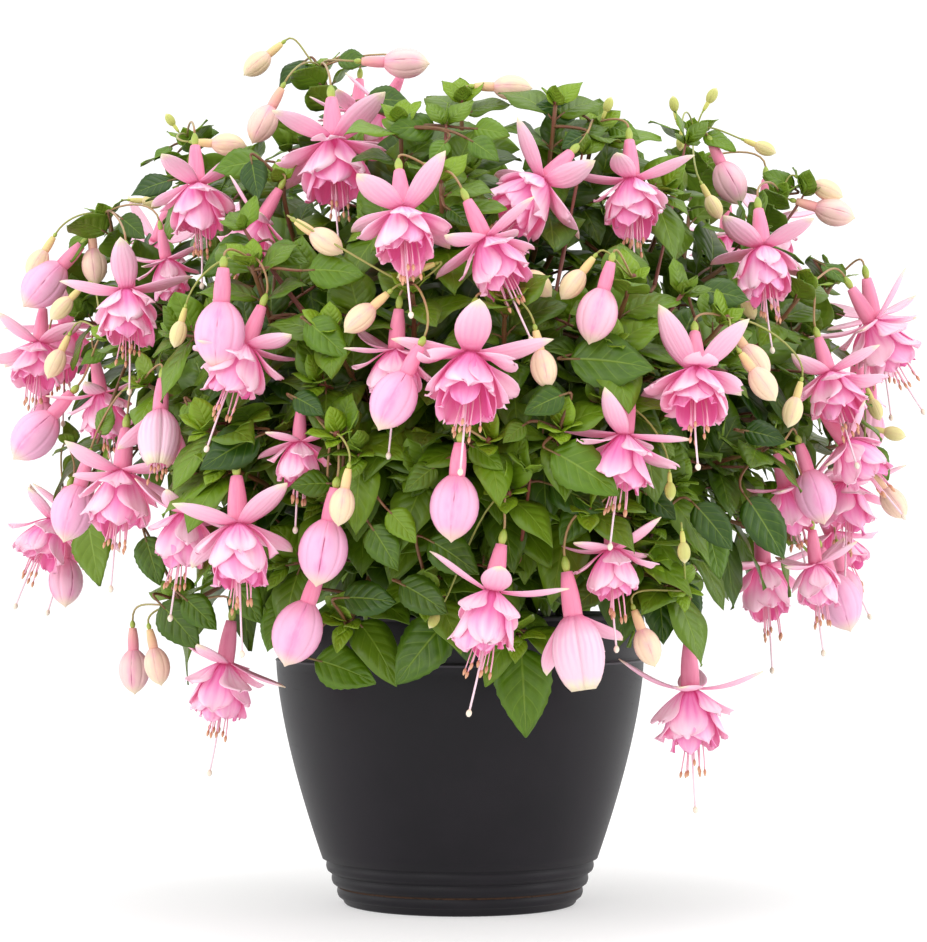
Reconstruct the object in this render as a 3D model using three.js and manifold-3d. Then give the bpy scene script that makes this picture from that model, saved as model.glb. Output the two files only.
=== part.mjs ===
// A double pink fuchsia in a standing pot: pot, soil, woody stems, leafy shoots and flower sprays.
// Millimetres, +Z up, front towards -Y. The origin is the centre of the pot's foot.

import * as THREE from 'three';
import { mergeVertices } from 'three/addons/utils/BufferGeometryUtils.js';
import Module from 'manifold-3d';

const wasm = await Module();
wasm.setup();

// Pot, from the foot up: rounded rings, a wall that bellies out, a thin ledge and a rim band.
const POT = {
  footRadius: 72.5, footRound: 2.5, rings: 3, ringsFrom: 4, ringHeight: 8, ringGrowth: 3.4,
  ringSwell: 0.6, ringCrest: 0.55, groove: 1.6, wallFrom: 28, wallRadius: 85.5, shoulder: 151,
  shoulderRadius: 114.5, wallPower: 1.5, wallSteps: 4, ledge: 1.9, ledgeRise: 1.2,
  bandRadius: 115.6, bandMiddle: 167, height: 180, lipRadius: 114, wall: 3.2, floor: 5, sides: 20,
};
const SOIL = { top: 163, slope: 22, gap: 0.4, lowInset: 3, topInset: 2, sides: 16 };
const CROWN = { radius: 9, bottom: 139, shoulder: 178, top: 186, sides: 8, clearance: 0.35 };

// Canopy: the surface of revolution that the shoot tips and the flowers reach.
const CANOPY = { centre: 310, radius: 268, halfHeight: 236, power: 2.2 };

// Steps smaller than this are taken out where solids are joined.
const SMOOTHING = 0.1;

// Front view: places on the front are given in its pixels, 927 wide and 942 high.
const VIEW = {
  mmPerPixel: 0.625, axisPixel: 460, floorPixel: 901, eyeHeight: 215, distance: 1781, rounds: 10,
};

const WOOD = {
  radius: 3.2, endRadius: 2.3, sides: 3, steps: 2, foot: 6, reach: 0.4, rise: 34, climb: 0.5,
  arrive: 0.35, lift: 0.35,
};
const TWIG = {
  radius: 2.3, tipRadius: 1.7, sides: 3, bendOver: 40, base: 2, joint: 0.3, leave: 0.4, arrive: 0.35,
  levelAt: 230, riseOver: 210, lowest: -0.75, steepest: 0.95, outward: 1.2,
};

// Leaves. An outline lists half widths along the leaf, both as shares of its length: the fuller one is
// for leaves of at least `fullFrom`. swings and pitches are the ways to point that are tried in turn.
const LEAF = {
  firstAt: 14, spacing: 56, endGap: 12, nodeHeight: 3.5, length: 60, lengthSpread: 11, youngest: 0.62,
  growth: 0.3, fullFrom: 46, fullOutline: [[0.36, 0.29], [0.72, 0.2]], plainOutline: [[0.48, 0.29]],
  thickness: 1.2, droop: 0.22, faceOut: 0.55, faceUp: 0.85, clearance: 0.5,
  swings: [0, 25, -25, 50, -50], pitches: [0.5, 1, 1.8],
};

// Flowers. Each layer of petals is a ring of [radius, depth] at its even and at its odd points.
const BLOOM = {
  ovaryLength: 8, ovaryRadius: 2.7, ovaryMiddle: 0.5, pinchRadius: 1.9, tubeLength: 22, flareRadius: 5,
  sepals: 4, sepalLength: 38, sepalDepth: 2, sepalFrom: 1, sepalAngle: 98, sepalCurl: 0.14,
  shoulderAt: 0.54, notch: 6.2, plainNotch: 9, openingAngle: 42, openingReach: 4, waist: 5.5,
  outerPetals: [[13.5, 12], [20.5, 19]], fold: [[10.5, 13], [11, 15]],
  innerPetals: [[13.5, 30], [8.5, 24]], corollaLength: 30, closedWidth: 0.62,
  filamentSides: 3, filamentRadius: 0.8, stamens: 2, stamenTurn: 40, stamenRing: 3.5, stamenFrom: 17,
  stamenReach: 15, reachSpread: 3, stamenSplay: 0.16, styleFrom: 21, styleReach: 36,
  stigmaRadius: 1.6, stigmaLength: 4,
};
const BUD = {
  length: 35, radius: 13.2, tubeLength: 17, ovaryLength: 6, flareRadius: 4, small: 0.36, large: 0.7,
  sides: 4, largeSides: 5, sections: [[0.48, 1]], largeSections: [[0.34, 1], [0.7, 0.8]], apex: 1.06,
};
const STALK = {
  radius: 0.95, sides: 3, rootRadius: 0.7, hubRadius: 2.4, hubEndRadius: 1.9, hubLength: 5.5,
  hubSides: 4, lift: 0.35, outward: 0.8, reach: 0.35, bends: [0.36, 0.7], plainBends: [0.5],
};

// How far deeper or shallower than its own inset a flower may sit, tried in turn until it is clear.
const DEPTH_STEPS = [0, 8, -8, 16, -14, 24, 32, 40, 50];
const FLOWER_CLEARANCE = 0.5;

// How far behind its hub a front flower may hang.
const SPRAY_DEPTH = 40;

// Front sprays. `hub` is where the stalks leave the twig. Each item hangs by its neck, where the sepals
// join the tube: `at` is that place. lean is the angle in degrees from straight down to the right, face
// the tilt towards the viewer, turn the first sepal's angle, and inset the depth inside the canopy.
const FRONT_SPRAYS = [
  { name: 'crest', shoot: 1, hub: [322, 72], inset: 58, items: [
    { kind: 'bud', at: [384, 60], lean: 88, size: 0.78, inset: 52 },
    { kind: 'bloom', at: [333, 137], lean: 4, face: 22, size: 1.16, turn: 45, inset: 52 },
    { kind: 'bloom', at: [357, 108], lean: -4, size: 0.85, inset: 114, turn: 20, plain: true },
    { kind: 'bloom', at: [386, 103], lean: -28, face: -10, size: 0.85, inset: 104, turn: 10, plain: true },
    { kind: 'bud', at: [268, 52], lean: -50, size: 0.6, inset: 52 },
    { kind: 'bud', at: [271, 105], lean: -28, size: 0.72, inset: 52 },
  ] },
  { name: 'upper_left', shoot: 2, hub: [188, 142], inset: 54, items: [
    { kind: 'bloom', at: [196, 181], lean: 4, face: 12, size: 1, turn: 30, inset: 44 },
    { kind: 'bud', at: [211, 142], lean: 86, size: 0.6, inset: 44 },
    { kind: 'bud', at: [173, 124], lean: -145, size: 0.27, inset: 44 },
  ] },
  { name: 'inner_left', shoot: 2, hub: [280, 178], inset: 60, items: [
    { kind: 'bloom', at: [262, 217], lean: -30, size: 0.85, inset: 62, turn: 0, plain: true },
  ] },
  { name: 'far_left_high', shoot: 3, hub: [106, 219], inset: 26, items: [
    { kind: 'bud', at: [44, 250], lean: -32, size: 0.58, inset: 56 },
    { kind: 'bud', at: [61, 265], lean: -43, size: 1.02, inset: 22 },
    { kind: 'bud', at: [92, 248], lean: 5, size: 0.68, inset: 30 },
    { kind: 'bloom', at: [126, 288], lean: 4, face: 20, size: 1.02, turn: 0, inset: 26 },
    { kind: 'bud', at: [141, 200], lean: 86, size: 0.42, inset: 42 },
    { kind: 'bloom', at: [165, 257], lean: 10, size: 0.75, inset: 74, turn: 30, plain: true },
  ] },
  { name: 'crown_bud', shoot: 4, hub: [462, 98], inset: 50, items: [
    { kind: 'bud', at: [494, 85], lean: 88, size: 0.64, inset: 40 },
  ] },
  { name: 'upper_middle', shoot: 4, hub: [441, 178], inset: 14, items: [
    { kind: 'bloom', at: [402, 207], lean: 5, face: 26, size: 1.05, turn: 40, inset: -2 },
    { kind: 'bloom', at: [484, 236], lean: 24, face: 10, size: 0.98, turn: 35, inset: 4, plain: true },
  ] },
  { name: 'upper_right', shoot: 5, hub: [594, 128], inset: 46, items: [
    { kind: 'bloom', at: [545, 179], lean: -42, face: 22, size: 1.05, turn: 40, inset: 34 },
    { kind: 'bloom', at: [632, 176], lean: 2, face: 16, size: 1, turn: 20, inset: 38 },
    { kind: 'bud', at: [606, 110], lean: 158, size: 0.27, inset: 34 },
  ] },
  { name: 'right_crest', shoot: 6, hub: [692, 132], inset: 66, items: [
    { kind: 'bud', at: [676, 110], lean: -172, size: 0.3, inset: 56 },
    { kind: 'bud', at: [709, 101], lean: 150, size: 0.32, inset: 56 },
    { kind: 'bud', at: [682, 134], lean: -4, size: 0.27, inset: 56 },
    { kind: 'bud', at: [756, 143], lean: 68, size: 0.42, inset: 56 },
    { kind: 'bud', at: [722, 162], lean: 25, size: 0.84, inset: 56 },
    { kind: 'bud', at: [709, 195], lean: 28, size: 0.45, inset: 62 },
  ] },
  { name: 'right_high', shoot: 6, hub: [778, 196], inset: 60, items: [
    { kind: 'bud', at: [815, 183], lean: 66, size: 0.58, inset: 84 },
    { kind: 'bud', at: [817, 206], lean: 74, size: 0.74, inset: 44 },
    { kind: 'bloom', at: [763, 245], lean: 3, face: 20, size: 1.05, turn: 45, inset: 44 },
  ] },
  { name: 'far_right', shoot: 7, hub: [806, 288], inset: 34, items: [
    { kind: 'bloom', at: [871, 320], lean: 30, size: 1, turn: 25, inset: 32, plain: true },
    { kind: 'bloom', at: [829, 371], lean: 14, face: 18, size: 0.95, turn: 40, inset: 24, plain: true },
    { kind: 'bud', at: [745, 297], lean: 24, size: 0.42, inset: 28 },
  ] },
  { name: 'right_middle', shoot: 8, hub: [724, 322], inset: 16, items: [
    { kind: 'bloom', at: [696, 367], lean: -2, face: 34, size: 1.04, turn: 45, inset: -4 },
    { kind: 'bud', at: [745, 346], lean: 36, size: 0.64, inset: 14 },
    { kind: 'bud', at: [753, 369], lean: 36, size: 0.62, inset: -8 },
    { kind: 'bud', at: [797, 397], lean: -16, size: 0.52, inset: 10 },
  ] },
  { name: 'far_right_low', shoot: 7, hub: [850, 402], inset: 28, items: [
    { kind: 'bud', at: [872, 399], lean: 22, size: 0.42, inset: 36 },
    { kind: 'bud', at: [884, 431], lean: 76, size: 0.42, inset: 40 },
    { kind: 'bloom', at: [844, 440], lean: 38, size: 0.9, turn: 45, inset: 18, plain: true },
    { kind: 'bud', at: [884, 489], lean: 36, size: 0.66, inset: 52 },
  ] },
  { name: 'right_low', shoot: 9, hub: [772, 446], inset: 42, items: [
    { kind: 'bloom', at: [785, 486], lean: 14, size: 0.88, turn: 10, inset: 56, plain: true },
    { kind: 'bud', at: [808, 471], lean: 17, size: 0.95, inset: 26 },
    { kind: 'bloom', at: [815, 562], lean: 5, size: 0.85, turn: 45, inset: 74, plain: true },
  ] },
  { name: 'right_hanging', shoot: 9, hub: [786, 530], inset: 50, items: [
    { kind: 'bloom', at: [763, 563], lean: 4, face: 6, size: 1.05, turn: 30, inset: 40, plain: true },
    { kind: 'bud', at: [830, 576], lean: 20, size: 1.05, inset: 40 },
  ] },
  { name: 'low_right', shoot: 10, hub: [680, 590], inset: 20, items: [
    { kind: 'bud', at: [683, 542], lean: 5, size: 0.34, inset: -12 },
    { kind: 'bud', at: [641, 629], lean: 20, size: 0.64, inset: 0 },
    { kind: 'bloom', at: [690, 686], lean: 2, face: 2, size: 1.1, turn: 10, inset: 4 },
  ] },
  { name: 'middle_right', shoot: 8, hub: [632, 282], inset: 8, items: [
    { kind: 'bud', at: [604, 289], lean: -15, size: 0.88, inset: -2 },
    { kind: 'bud', at: [583, 271], lean: -38, size: 0.55, inset: 6 },
  ] },
  { name: 'centre_right', shoot: 11, hub: [610, 405], inset: 16, items: [
    { kind: 'bloom', at: [625, 433], lean: -8, face: 10, size: 0.98, turn: 20, inset: 2, plain: true },
    { kind: 'bud', at: [670, 482], lean: 2, size: 0.3, inset: 2 },
  ] },
  { name: 'low_middle', shoot: 10, hub: [588, 510], inset: 14, items: [
    { kind: 'bloom', at: [612, 547], lean: 2, face: 8, size: 0.88, turn: 40, inset: 14, plain: true },
    { kind: 'opening', at: [573, 616], lean: 8, face: 4, size: 1.08, turn: 45, inset: -8 },
  ] },
  { name: 'low_front', shoot: 12, hub: [508, 494], inset: 12, items: [
    { kind: 'bloom', at: [493, 588], lean: -11, face: 6, size: 1.06, turn: 0, inset: -6 },
    { kind: 'bud', at: [438, 613], lean: -30, size: 0.28, inset: 14 },
  ] },
  { name: 'centre', shoot: 11, hub: [506, 302], inset: 14, items: [
    { kind: 'bloom', at: [471, 352], lean: -5, face: 28, size: 1.14, turn: 0, inset: -8 },
    { kind: 'bud', at: [540, 350], lean: 12, size: 0.62, inset: 4 },
    { kind: 'bud', at: [527, 272], lean: 46, size: 0.54, inset: 4 },
  ] },
  { name: 'centre_low', shoot: 12, hub: [488, 442], inset: 10, items: [
    { kind: 'bud', at: [457, 476], lean: -5, size: 1.02, inset: -4 },
  ] },
  { name: 'centre_left', shoot: 13, hub: [412, 290], inset: 18, items: [
    { kind: 'bloom', at: [396, 347], lean: -4, size: 0.92, turn: 45, inset: 10, plain: true },
    { kind: 'bud', at: [406, 374], lean: -26, size: 0.95, inset: -16 },
    { kind: 'bud', at: [373, 306], lean: -48, size: 0.6, inset: 4 },
    { kind: 'bud', at: [422, 268], lean: -70, size: 0.42, inset: 4 },
    { kind: 'bud', at: [311, 231], lean: 56, size: 0.6, inset: 4 },
  ] },
  { name: 'left_low', shoot: 13, hub: [338, 436], inset: 12, items: [
    { kind: 'bud', at: [345, 488], lean: -10, size: 0.6, inset: -8 },
    { kind: 'bud', at: [329, 521], lean: -11, size: 1.04, inset: 10 },
    { kind: 'bloom', at: [299, 440], lean: -2, face: 6, size: 0.78, turn: 30, inset: 24, plain: true },
    { kind: 'bud', at: [308, 603], lean: -20, size: 1.06, inset: 0 },
  ] },
  { name: 'left_middle', shoot: 14, hub: [250, 262], inset: 12, items: [
    { kind: 'bud', at: [221, 302], lean: -3, size: 1.08, inset: -8 },
    { kind: 'bloom', at: [247, 343], lean: -20, face: 10, size: 0.98, turn: 45, inset: 24, plain: true },
    { kind: 'bud', at: [181, 321], lean: -15, size: 0.44, inset: 6 },
  ] },
  { name: 'far_left', shoot: 3, hub: [112, 338], inset: 44, items: [
    { kind: 'bud', at: [52, 415], lean: -41, size: 1.04, inset: 26 },
    { kind: 'bud', at: [61, 350], lean: -26, size: 0.56, inset: 26 },
    { kind: 'bud', at: [70, 298], lean: -44, size: 0.52, inset: 56 },
    { kind: 'bloom', at: [100, 391], lean: 10, size: 0.88, turn: 0, inset: 60, plain: true },
  ] },
  { name: 'left_hanging', shoot: 14, hub: [146, 384], inset: 41, items: [
    { kind: 'opening', at: [160, 412], lean: 0, face: 24, size: 0.92, turn: 30, inset: 27 },
    { kind: 'bloom', at: [122, 470], lean: -3, face: 18, size: 1.12, turn: 45, inset: 25 },
    { kind: 'bud', at: [80, 486], lean: -16, size: 1, inset: 47 },
  ] },
  { name: 'low_left', shoot: 15, hub: [222, 466], inset: 14, items: [
    { kind: 'bloom', at: [186, 511], lean: -8, face: 2, size: 0.95, turn: 20, inset: 22, plain: true },
    { kind: 'bloom', at: [238, 522], lean: 3, face: 14, size: 1.14, turn: 45, inset: -6 },
  ] },
  { name: 'trailing_left', shoot: 15, hub: [180, 604], inset: 52, items: [
    { kind: 'bud', at: [134, 650], lean: 2, size: 0.78, inset: 50 },
    { kind: 'bud', at: [154, 648], lean: 12, size: 0.66, inset: 18 },
    { kind: 'bloom', at: [226, 660], lean: -8, size: 1.04, turn: 15, inset: 38 },
  ] },
];

// Leafy tips with no flowers: the foliage that shows between and below the sprays.
const FRONT_TIPS = [
  { shoot: 12, hub: [520, 636], inset: 30 },
  { shoot: 12, hub: [428, 596], inset: 24 },
  { shoot: 13, hub: [346, 624], inset: 26 },
  { shoot: 11, hub: [560, 430], inset: 6 },
  { shoot: 14, hub: [206, 430], inset: 14 },
  { shoot: 13, hub: [330, 330], inset: 16 },
  { shoot: 1, hub: [400, 118], inset: 24 },
  { shoot: 5, hub: [556, 100], inset: 20 },
  { shoot: 10, hub: [650, 560], inset: 24 },
  { shoot: 8, hub: [612, 344], inset: 14 },
];

// Sprays round the back, in rows: height, then the angles from the front about the pot's axis.
const REAR_ROWS = [
  { height: 476, angles: [124, 232], shoots: [16, 19] },
  { height: 392, angles: [100, 152, 206, 262], shoots: [16, 17, 18, 19] },
  { height: 288, angles: [104, 178, 258], shoots: [16, 18, 19] },
];
const REAR_SPRAY = {
  inset: 12, items: ['bloom', 'bloom', 'bud'], sizes: [1.05, 0.96, 0.9], sides: [-26, 24, 2],
  drops: [34, 50, 78], dropSpread: 12, leanSpread: 16, face: 8, faceSpread: 16,
};
const REAR_TIPS = [
  { height: 205, angles: [134, 160, 226], shoots: [16, 17, 19] },
  { height: 500, angles: [178], shoots: [18] },
];

const FINISH = {
  pot: { color: 0x2c2a2e, roughness: 0.5, metalness: 0 },
  soil: { color: 0x3a2a1e, roughness: 1, metalness: 0 },
  wood: { color: 0x6b4034, roughness: 0.8, metalness: 0 },
  leaf: { color: 0x3d7a24, roughness: 0.5, metalness: 0 },
  flower: { color: 0xf08cc4, roughness: 0.55, metalness: 0 },
};

const vec = (x, y, z) => new THREE.Vector3(x, y, z);
const UP = vec(0, 0, 1);
const STEEP = 0.9;
const FILAMENT_ANGLES = Array.from(
  { length: BLOOM.filamentSides }, (_, k) => 360 * k / BLOOM.filamentSides);
const radians = THREE.MathUtils.degToRad;
const degrees = THREE.MathUtils.radToDeg;

// A number from 0 to 1 that depends only on its whole-number keys.
function draw(...keys) {
  let hash = 0x811c9dc5;
  for (const key of keys) {
    hash = Math.imul(hash ^ key, 16777619) >>> 0;
    hash = (hash ^ (hash >>> 15)) >>> 0;
    hash = Math.imul(hash, 2246822519) >>> 0;
    hash = (hash ^ (hash >>> 13)) >>> 0;
  }
  return hash / 4294967296;
}

const spread = (amount, ...keys) => amount * (2 * draw(...keys) - 1);

const shootName = (number) => `shoot_${String(number).padStart(2, '0')}`;

// Faces between two rings of vertex numbers that turn right-handed about the way from near to far.
// The rings may differ in length, and a ring of one vertex is an apex.
function bridge(faces, near, far) {
  let [i, j] = [0, 0];
  while (i < near.length || j < far.length) {
    const isNear = j === far.length
      || (i < near.length && (i + 1) * far.length <= (j + 1) * near.length);
    const a = near[i % near.length];
    const b = far[j % far.length];
    if (isNear && near.length > 1) faces.push(a, near[(i + 1) % near.length], b);
    if (!isNear && far.length > 1) faces.push(a, far[(j + 1) % far.length], b);
    if (isNear) i++;
    else j++;
  }
}

// A flat end on a ring, seen from the ring's far side.
function cap(faces, ring) {
  for (let j = 1; j < ring.length - 1; j++) faces.push(ring[0], ring[j], ring[j + 1]);
}

const toBuffer = (points, faces) => new THREE.BufferGeometry().setFromPoints(points).setIndex(faces);

// Closed geometry through rings of points.
function loft(rings) {
  let count = 0;
  const numbers = rings.map((ring) => ring.map(() => count++));
  const faces = [];
  numbers.slice(1).forEach((far, i) => bridge(faces, numbers[i], far));
  cap(faces, numbers[0].toReversed());
  cap(faces, numbers.at(-1));
  return toBuffer(rings.flat(), faces);
}

// Rings round a path that don't twist. `side` is where the last ring's first point lies.
function pathRings(points, radii, counts, side) {
  const first = side.clone();
  const rings = [];
  for (let i = points.length - 1; i >= 0; i--) {
    const along = (points[i + 1] ?? points[i]).clone().sub(points[i - 1] ?? points[i]).normalize();
    first.addScaledVector(along, -first.dot(along)).normalize();
    const second = along.clone().cross(first);
    rings.unshift(Array.from({ length: counts[i] }, (_, j) => points[i].clone()
      .addScaledVector(first, radii[i] * Math.cos(2 * Math.PI * j / counts[i]))
      .addScaledVector(second, radii[i] * Math.sin(2 * Math.PI * j / counts[i]))));
  }
  return rings;
}

function rod(points, radii, sides) {
  const along = points.at(-1).clone().sub(points[0]).normalize();
  const side = along.cross(Math.abs(along.z) < STEEP ? UP : vec(1, 0, 0));
  return loft(pathRings(points, radii, points.map(() => sides), side));
}

function turned(profile, sides) {
  const points = profile.map(([radius, height]) => new THREE.Vector2(radius, height));
  const lathe = new THREE.LatheGeometry(points, sides).rotateX(Math.PI / 2);
  lathe.deleteAttribute('normal');
  lathe.deleteAttribute('uv');
  return mergeVertices(lathe);
}

function toSolid(geometry) {
  const index = geometry.index.array;
  const faces = [];
  for (let i = 0; i < index.length; i += 3) {
    const [a, b, c] = [index[i], index[i + 1], index[i + 2]];
    if (a !== b && b !== c && c !== a) faces.push(a, b, c);
  }
  return new wasm.Manifold(new wasm.Mesh({
    numProp: 3,
    vertProperties: new Float32Array(geometry.attributes.position.array),
    triVerts: new Uint32Array(faces),
  }));
}

function toGeometry(solid) {
  const { vertProperties, triVerts } = solid.getMesh();
  return new THREE.BufferGeometry()
    .setAttribute('position', new THREE.BufferAttribute(vertProperties, 3))
    .setIndex(new THREE.BufferAttribute(triVerts, 1));
}

// The largest body of a solid: scraps that stand loose of it are dropped.
const largest = (solid) => solid.decompose().sort((a, b) => b.volume() - a.volume())[0];

// One body from solids that meet.
const fuse = (solids) => largest(largest(wasm.Manifold.union(solids)).asOriginal().simplify(SMOOTHING));

// Solids that later pieces have to stay clear of, each with the box that it fills.
const placed = [];

function keep(solid, owner) {
  placed.push({ solid, owner, box: solid.boundingBox() });
}

function isClear(solid, clearance, owners) {
  const { min, max } = solid.boundingBox();
  const near = placed.filter(({ box, owner }) => !owners.includes(owner) && [0, 1, 2].every(
    (i) => box.min[i] < max[i] + clearance && box.max[i] > min[i] - clearance));
  return near.every((other) => solid.minGap(other.solid, clearance) >= clearance);
}

function canopyRadius(height) {
  const share = Math.min(1, Math.abs(height - CANOPY.centre) / CANOPY.halfHeight);
  return CANOPY.radius * (1 - share ** CANOPY.power) ** (1 / CANOPY.power);
}

// The point on the canopy, or `inset` inside it, that the front view shows at a pixel. It stands at
// least `front` in front of the pot's axis.
function sightPoint([column, row], inset, front) {
  const across = (column - VIEW.axisPixel) * VIEW.mmPerPixel;
  const height = (VIEW.floorPixel - row) * VIEW.mmPerPixel;
  const point = vec(across, 0, height);
  for (let i = 0; i < VIEW.rounds; i++) {
    const reach = Math.max(0, canopyRadius(point.z) - inset);
    point.y = -Math.max(front, Math.sqrt(Math.max(0, reach * reach - point.x * point.x)));
    const scale = (VIEW.distance + point.y) / VIEW.distance;
    point.x = across * scale;
    point.z = VIEW.eyeHeight + (height - VIEW.eyeHeight) * scale;
  }
  return point;
}

function rimPoint(angle, height, inset) {
  const reach = canopyRadius(height) - inset;
  return vec(reach * Math.sin(radians(angle)), -reach * Math.cos(radians(angle)), height);
}

// The axes of an item: the way it hangs, then two across it, for a viewer at an angle round the pot.
function itemAxes(item, angle) {
  const right = vec(Math.cos(radians(angle)), Math.sin(radians(angle)), 0);
  const toViewer = vec(Math.sin(radians(angle)), -Math.cos(radians(angle)), 0);
  const lean = radians(item.lean);
  const face = radians(item.face ?? 0);
  const hang = right.clone().multiplyScalar(Math.sin(lean) * Math.cos(face))
    .addScaledVector(UP, -Math.cos(lean) * Math.cos(face))
    .addScaledVector(toViewer, Math.sin(face));
  const level = Math.abs(hang.dot(right)) < STEEP ? right : UP;
  const first = level.clone().addScaledVector(hang, -level.dot(hang)).normalize();
  return { hang, first, second: hang.clone().cross(first) };
}

// The stalk from the hub, then the ovary and the tube down to the neck, as rings.
function stalkRings({ hubMiddle: hub, heading }, item, neck, hang, side) {
  const { size } = item;
  const isSmall = item.kind === 'bud' && size < BUD.large;
  const sizes = item.kind === 'bud' ? BUD : BLOOM;
  const [tube, ovary] = [sizes.tubeLength * size, sizes.ovaryLength * size];
  const top = neck.clone().addScaledVector(hang, -tube - ovary);
  const way = top.clone().sub(hub);
  const reach = way.length();
  const level = vec(way.x, way.y, 0).normalize().multiplyScalar(STALK.outward);
  const leaving = heading.clone().multiplyScalar(STALK.lift).add(level).normalize();
  const curve = new THREE.CubicBezierCurve3(
    hub,
    hub.clone().addScaledVector(leaving, STALK.reach * reach),
    top.clone().addScaledVector(hang, -STALK.reach * reach),
    top,
  );
  const along = (distance) => top.clone().addScaledVector(hang, distance);
  const isTiny = size < BUD.small;
  const isPlain = item.plain || item.kind === 'bud';
  const bends = isPlain ? STALK.plainBends : STALK.bends;
  const thin = STALK.radius;
  const points = [hub, ...bends.map((share) => curve.getPoint(share)), top];
  const radii = [STALK.rootRadius, ...bends.map(() => thin), thin];
  const add = (distance, radius) => {
    points.push(along(distance));
    radii.push(radius * size);
  };
  if (!isTiny) add(ovary * BLOOM.ovaryMiddle, BLOOM.ovaryRadius);
  if (!isPlain) add(ovary, BLOOM.pinchRadius);
  if (!isTiny) add(ovary + tube, isSmall ? BUD.flareRadius : BLOOM.flareRadius);
  return pathRings(points, radii, points.map(() => STALK.sides), side);
}

// The sepals as a star that stands out of the neck: tips, shoulders and the notches between them.
function sepalStar(place, size, isOpening, plain) {
  const tilt = radians(isOpening ? BLOOM.openingAngle : BLOOM.sepalAngle);
  const length = BLOOM.sepalLength * size;
  const point = (share, angle, radius) => place(
    radius ?? length * share * Math.sin(tilt),
    angle,
    length * (share * Math.cos(tilt) - BLOOM.sepalCurl * share * share),
  );
  const star = [];
  for (let k = 0; k < BLOOM.sepals; k++) {
    const angle = 360 * k / BLOOM.sepals;
    const half = 180 / BLOOM.sepals;
    star.push(point(1, angle));
    if (!plain) star.push(point(BLOOM.shoulderAt, angle + half / 2));
    star.push(point(0, angle + half, size * (plain ? BLOOM.plainNotch : BLOOM.notch)));
    if (!plain) star.push(point(BLOOM.shoulderAt, angle + half * 1.5));
  }
  return star;
}

// The double corolla: outer petals between the sepals, a fold back inwards, and longer inner petals.
function corollaRings(place, size, isClosed, plain) {
  const wide = size * (isClosed ? BLOOM.closedWidth : 1);
  const ring = (even, odd) => Array.from({ length: 2 * BLOOM.sepals }, (_, j) => {
    const [radius, depth] = j % 2 === 0 ? even : odd;
    return place(wide * radius, 180 * j / BLOOM.sepals, size * depth);
  });
  const layers = plain ? [BLOOM.outerPetals] : [BLOOM.outerPetals, BLOOM.fold, BLOOM.innerPetals];
  return layers.map((layer) => ring(...layer));
}

// The style: a thin rod from inside the corolla, with the stigma's knob at its end.
function styleRings(place, size, reach, plain) {
  const ring = (radius, depth) => FILAMENT_ANGLES.map((angle) => place(radius, angle, depth * size));
  const thin = BLOOM.filamentRadius;
  const start = ring(thin, BLOOM.styleFrom);
  const end = [place(0, 0, reach * size)];
  if (plain) return [start, end];
  const neck = ring(thin, reach - BLOOM.stigmaLength);
  return [start, neck, ring(BLOOM.stigmaRadius, reach - BLOOM.stigmaRadius), end];
}

function stamen(place, size, angle, reach) {
  const middle = place(size * BLOOM.stamenRing, angle, size * BLOOM.stamenFrom).sub(place(0, 0, 0));
  const foot = FILAMENT_ANGLES.map((turn) => place(BLOOM.filamentRadius, turn, 0).add(middle));
  const splay = size * (BLOOM.stamenRing + reach * BLOOM.stamenSplay);
  return loft([foot, [place(splay, angle, size * reach)]]);
}

// A flower or bud on its stalk, with its neck at a point.
function itemSolid(item, spray, neck) {
  const { hang, first, second } = itemAxes(item, spray.angle);
  const { size, kind, plain } = item;
  const turn = radians(item.turn ?? 0);
  const side = first.clone().multiplyScalar(Math.cos(turn)).addScaledVector(second, Math.sin(turn));
  const other = hang.clone().cross(side);
  const place = (radius, angle, depth) => neck.clone()
    .addScaledVector(side, radius * Math.cos(radians(angle)))
    .addScaledVector(other, radius * Math.sin(radians(angle)))
    .addScaledVector(hang, depth);
  const stalk = stalkRings(spray, item, neck, hang, side);
  if (kind === 'bud') return toSolid(loft([...stalk, ...budRings(place, size)]));
  const isOpening = kind === 'opening';
  const ring = (radius, depth) => Array.from({ length: 2 * BLOOM.sepals }, (_, j) => place(
    radius * size, 180 * j / BLOOM.sepals, depth * size));
  const reach = BLOOM.corollaLength + (isOpening ? BLOOM.openingReach : BLOOM.styleReach);
  const flower = toSolid(loft([
    ...stalk,
    ring(BLOOM.flareRadius, BLOOM.sepalFrom),
    sepalStar(place, size, isOpening, plain),
    ring(BLOOM.waist, BLOOM.sepalFrom + BLOOM.sepalDepth),
    ...corollaRings(place, size, isOpening, plain),
    ...styleRings(place, size, reach, plain),
  ]));
  if (plain || isOpening) return flower;
  const stamens = Array.from({ length: BLOOM.stamens }, (_, k) => toSolid(stamen(
    place, size, BLOOM.stamenTurn + 360 * k / BLOOM.stamens,
    BLOOM.corollaLength + BLOOM.stamenReach + spread(BLOOM.reachSpread, k, Math.round(item.turn)),
  )));
  return fuse([flower, ...stamens]);
}

function budRings(place, size) {
  const isLarge = size >= BUD.large;
  const sides = isLarge ? BUD.largeSides : BUD.sides;
  const sections = (isLarge ? BUD.largeSections : BUD.sections).map(
    ([share, radius]) => Array.from({ length: sides }, (_, j) => place(
      BUD.radius * size * radius, 360 * j / sides, BUD.length * size * share)));
  return [...sections, [place(0, 0, BUD.length * size * BUD.apex)]];
}

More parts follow.
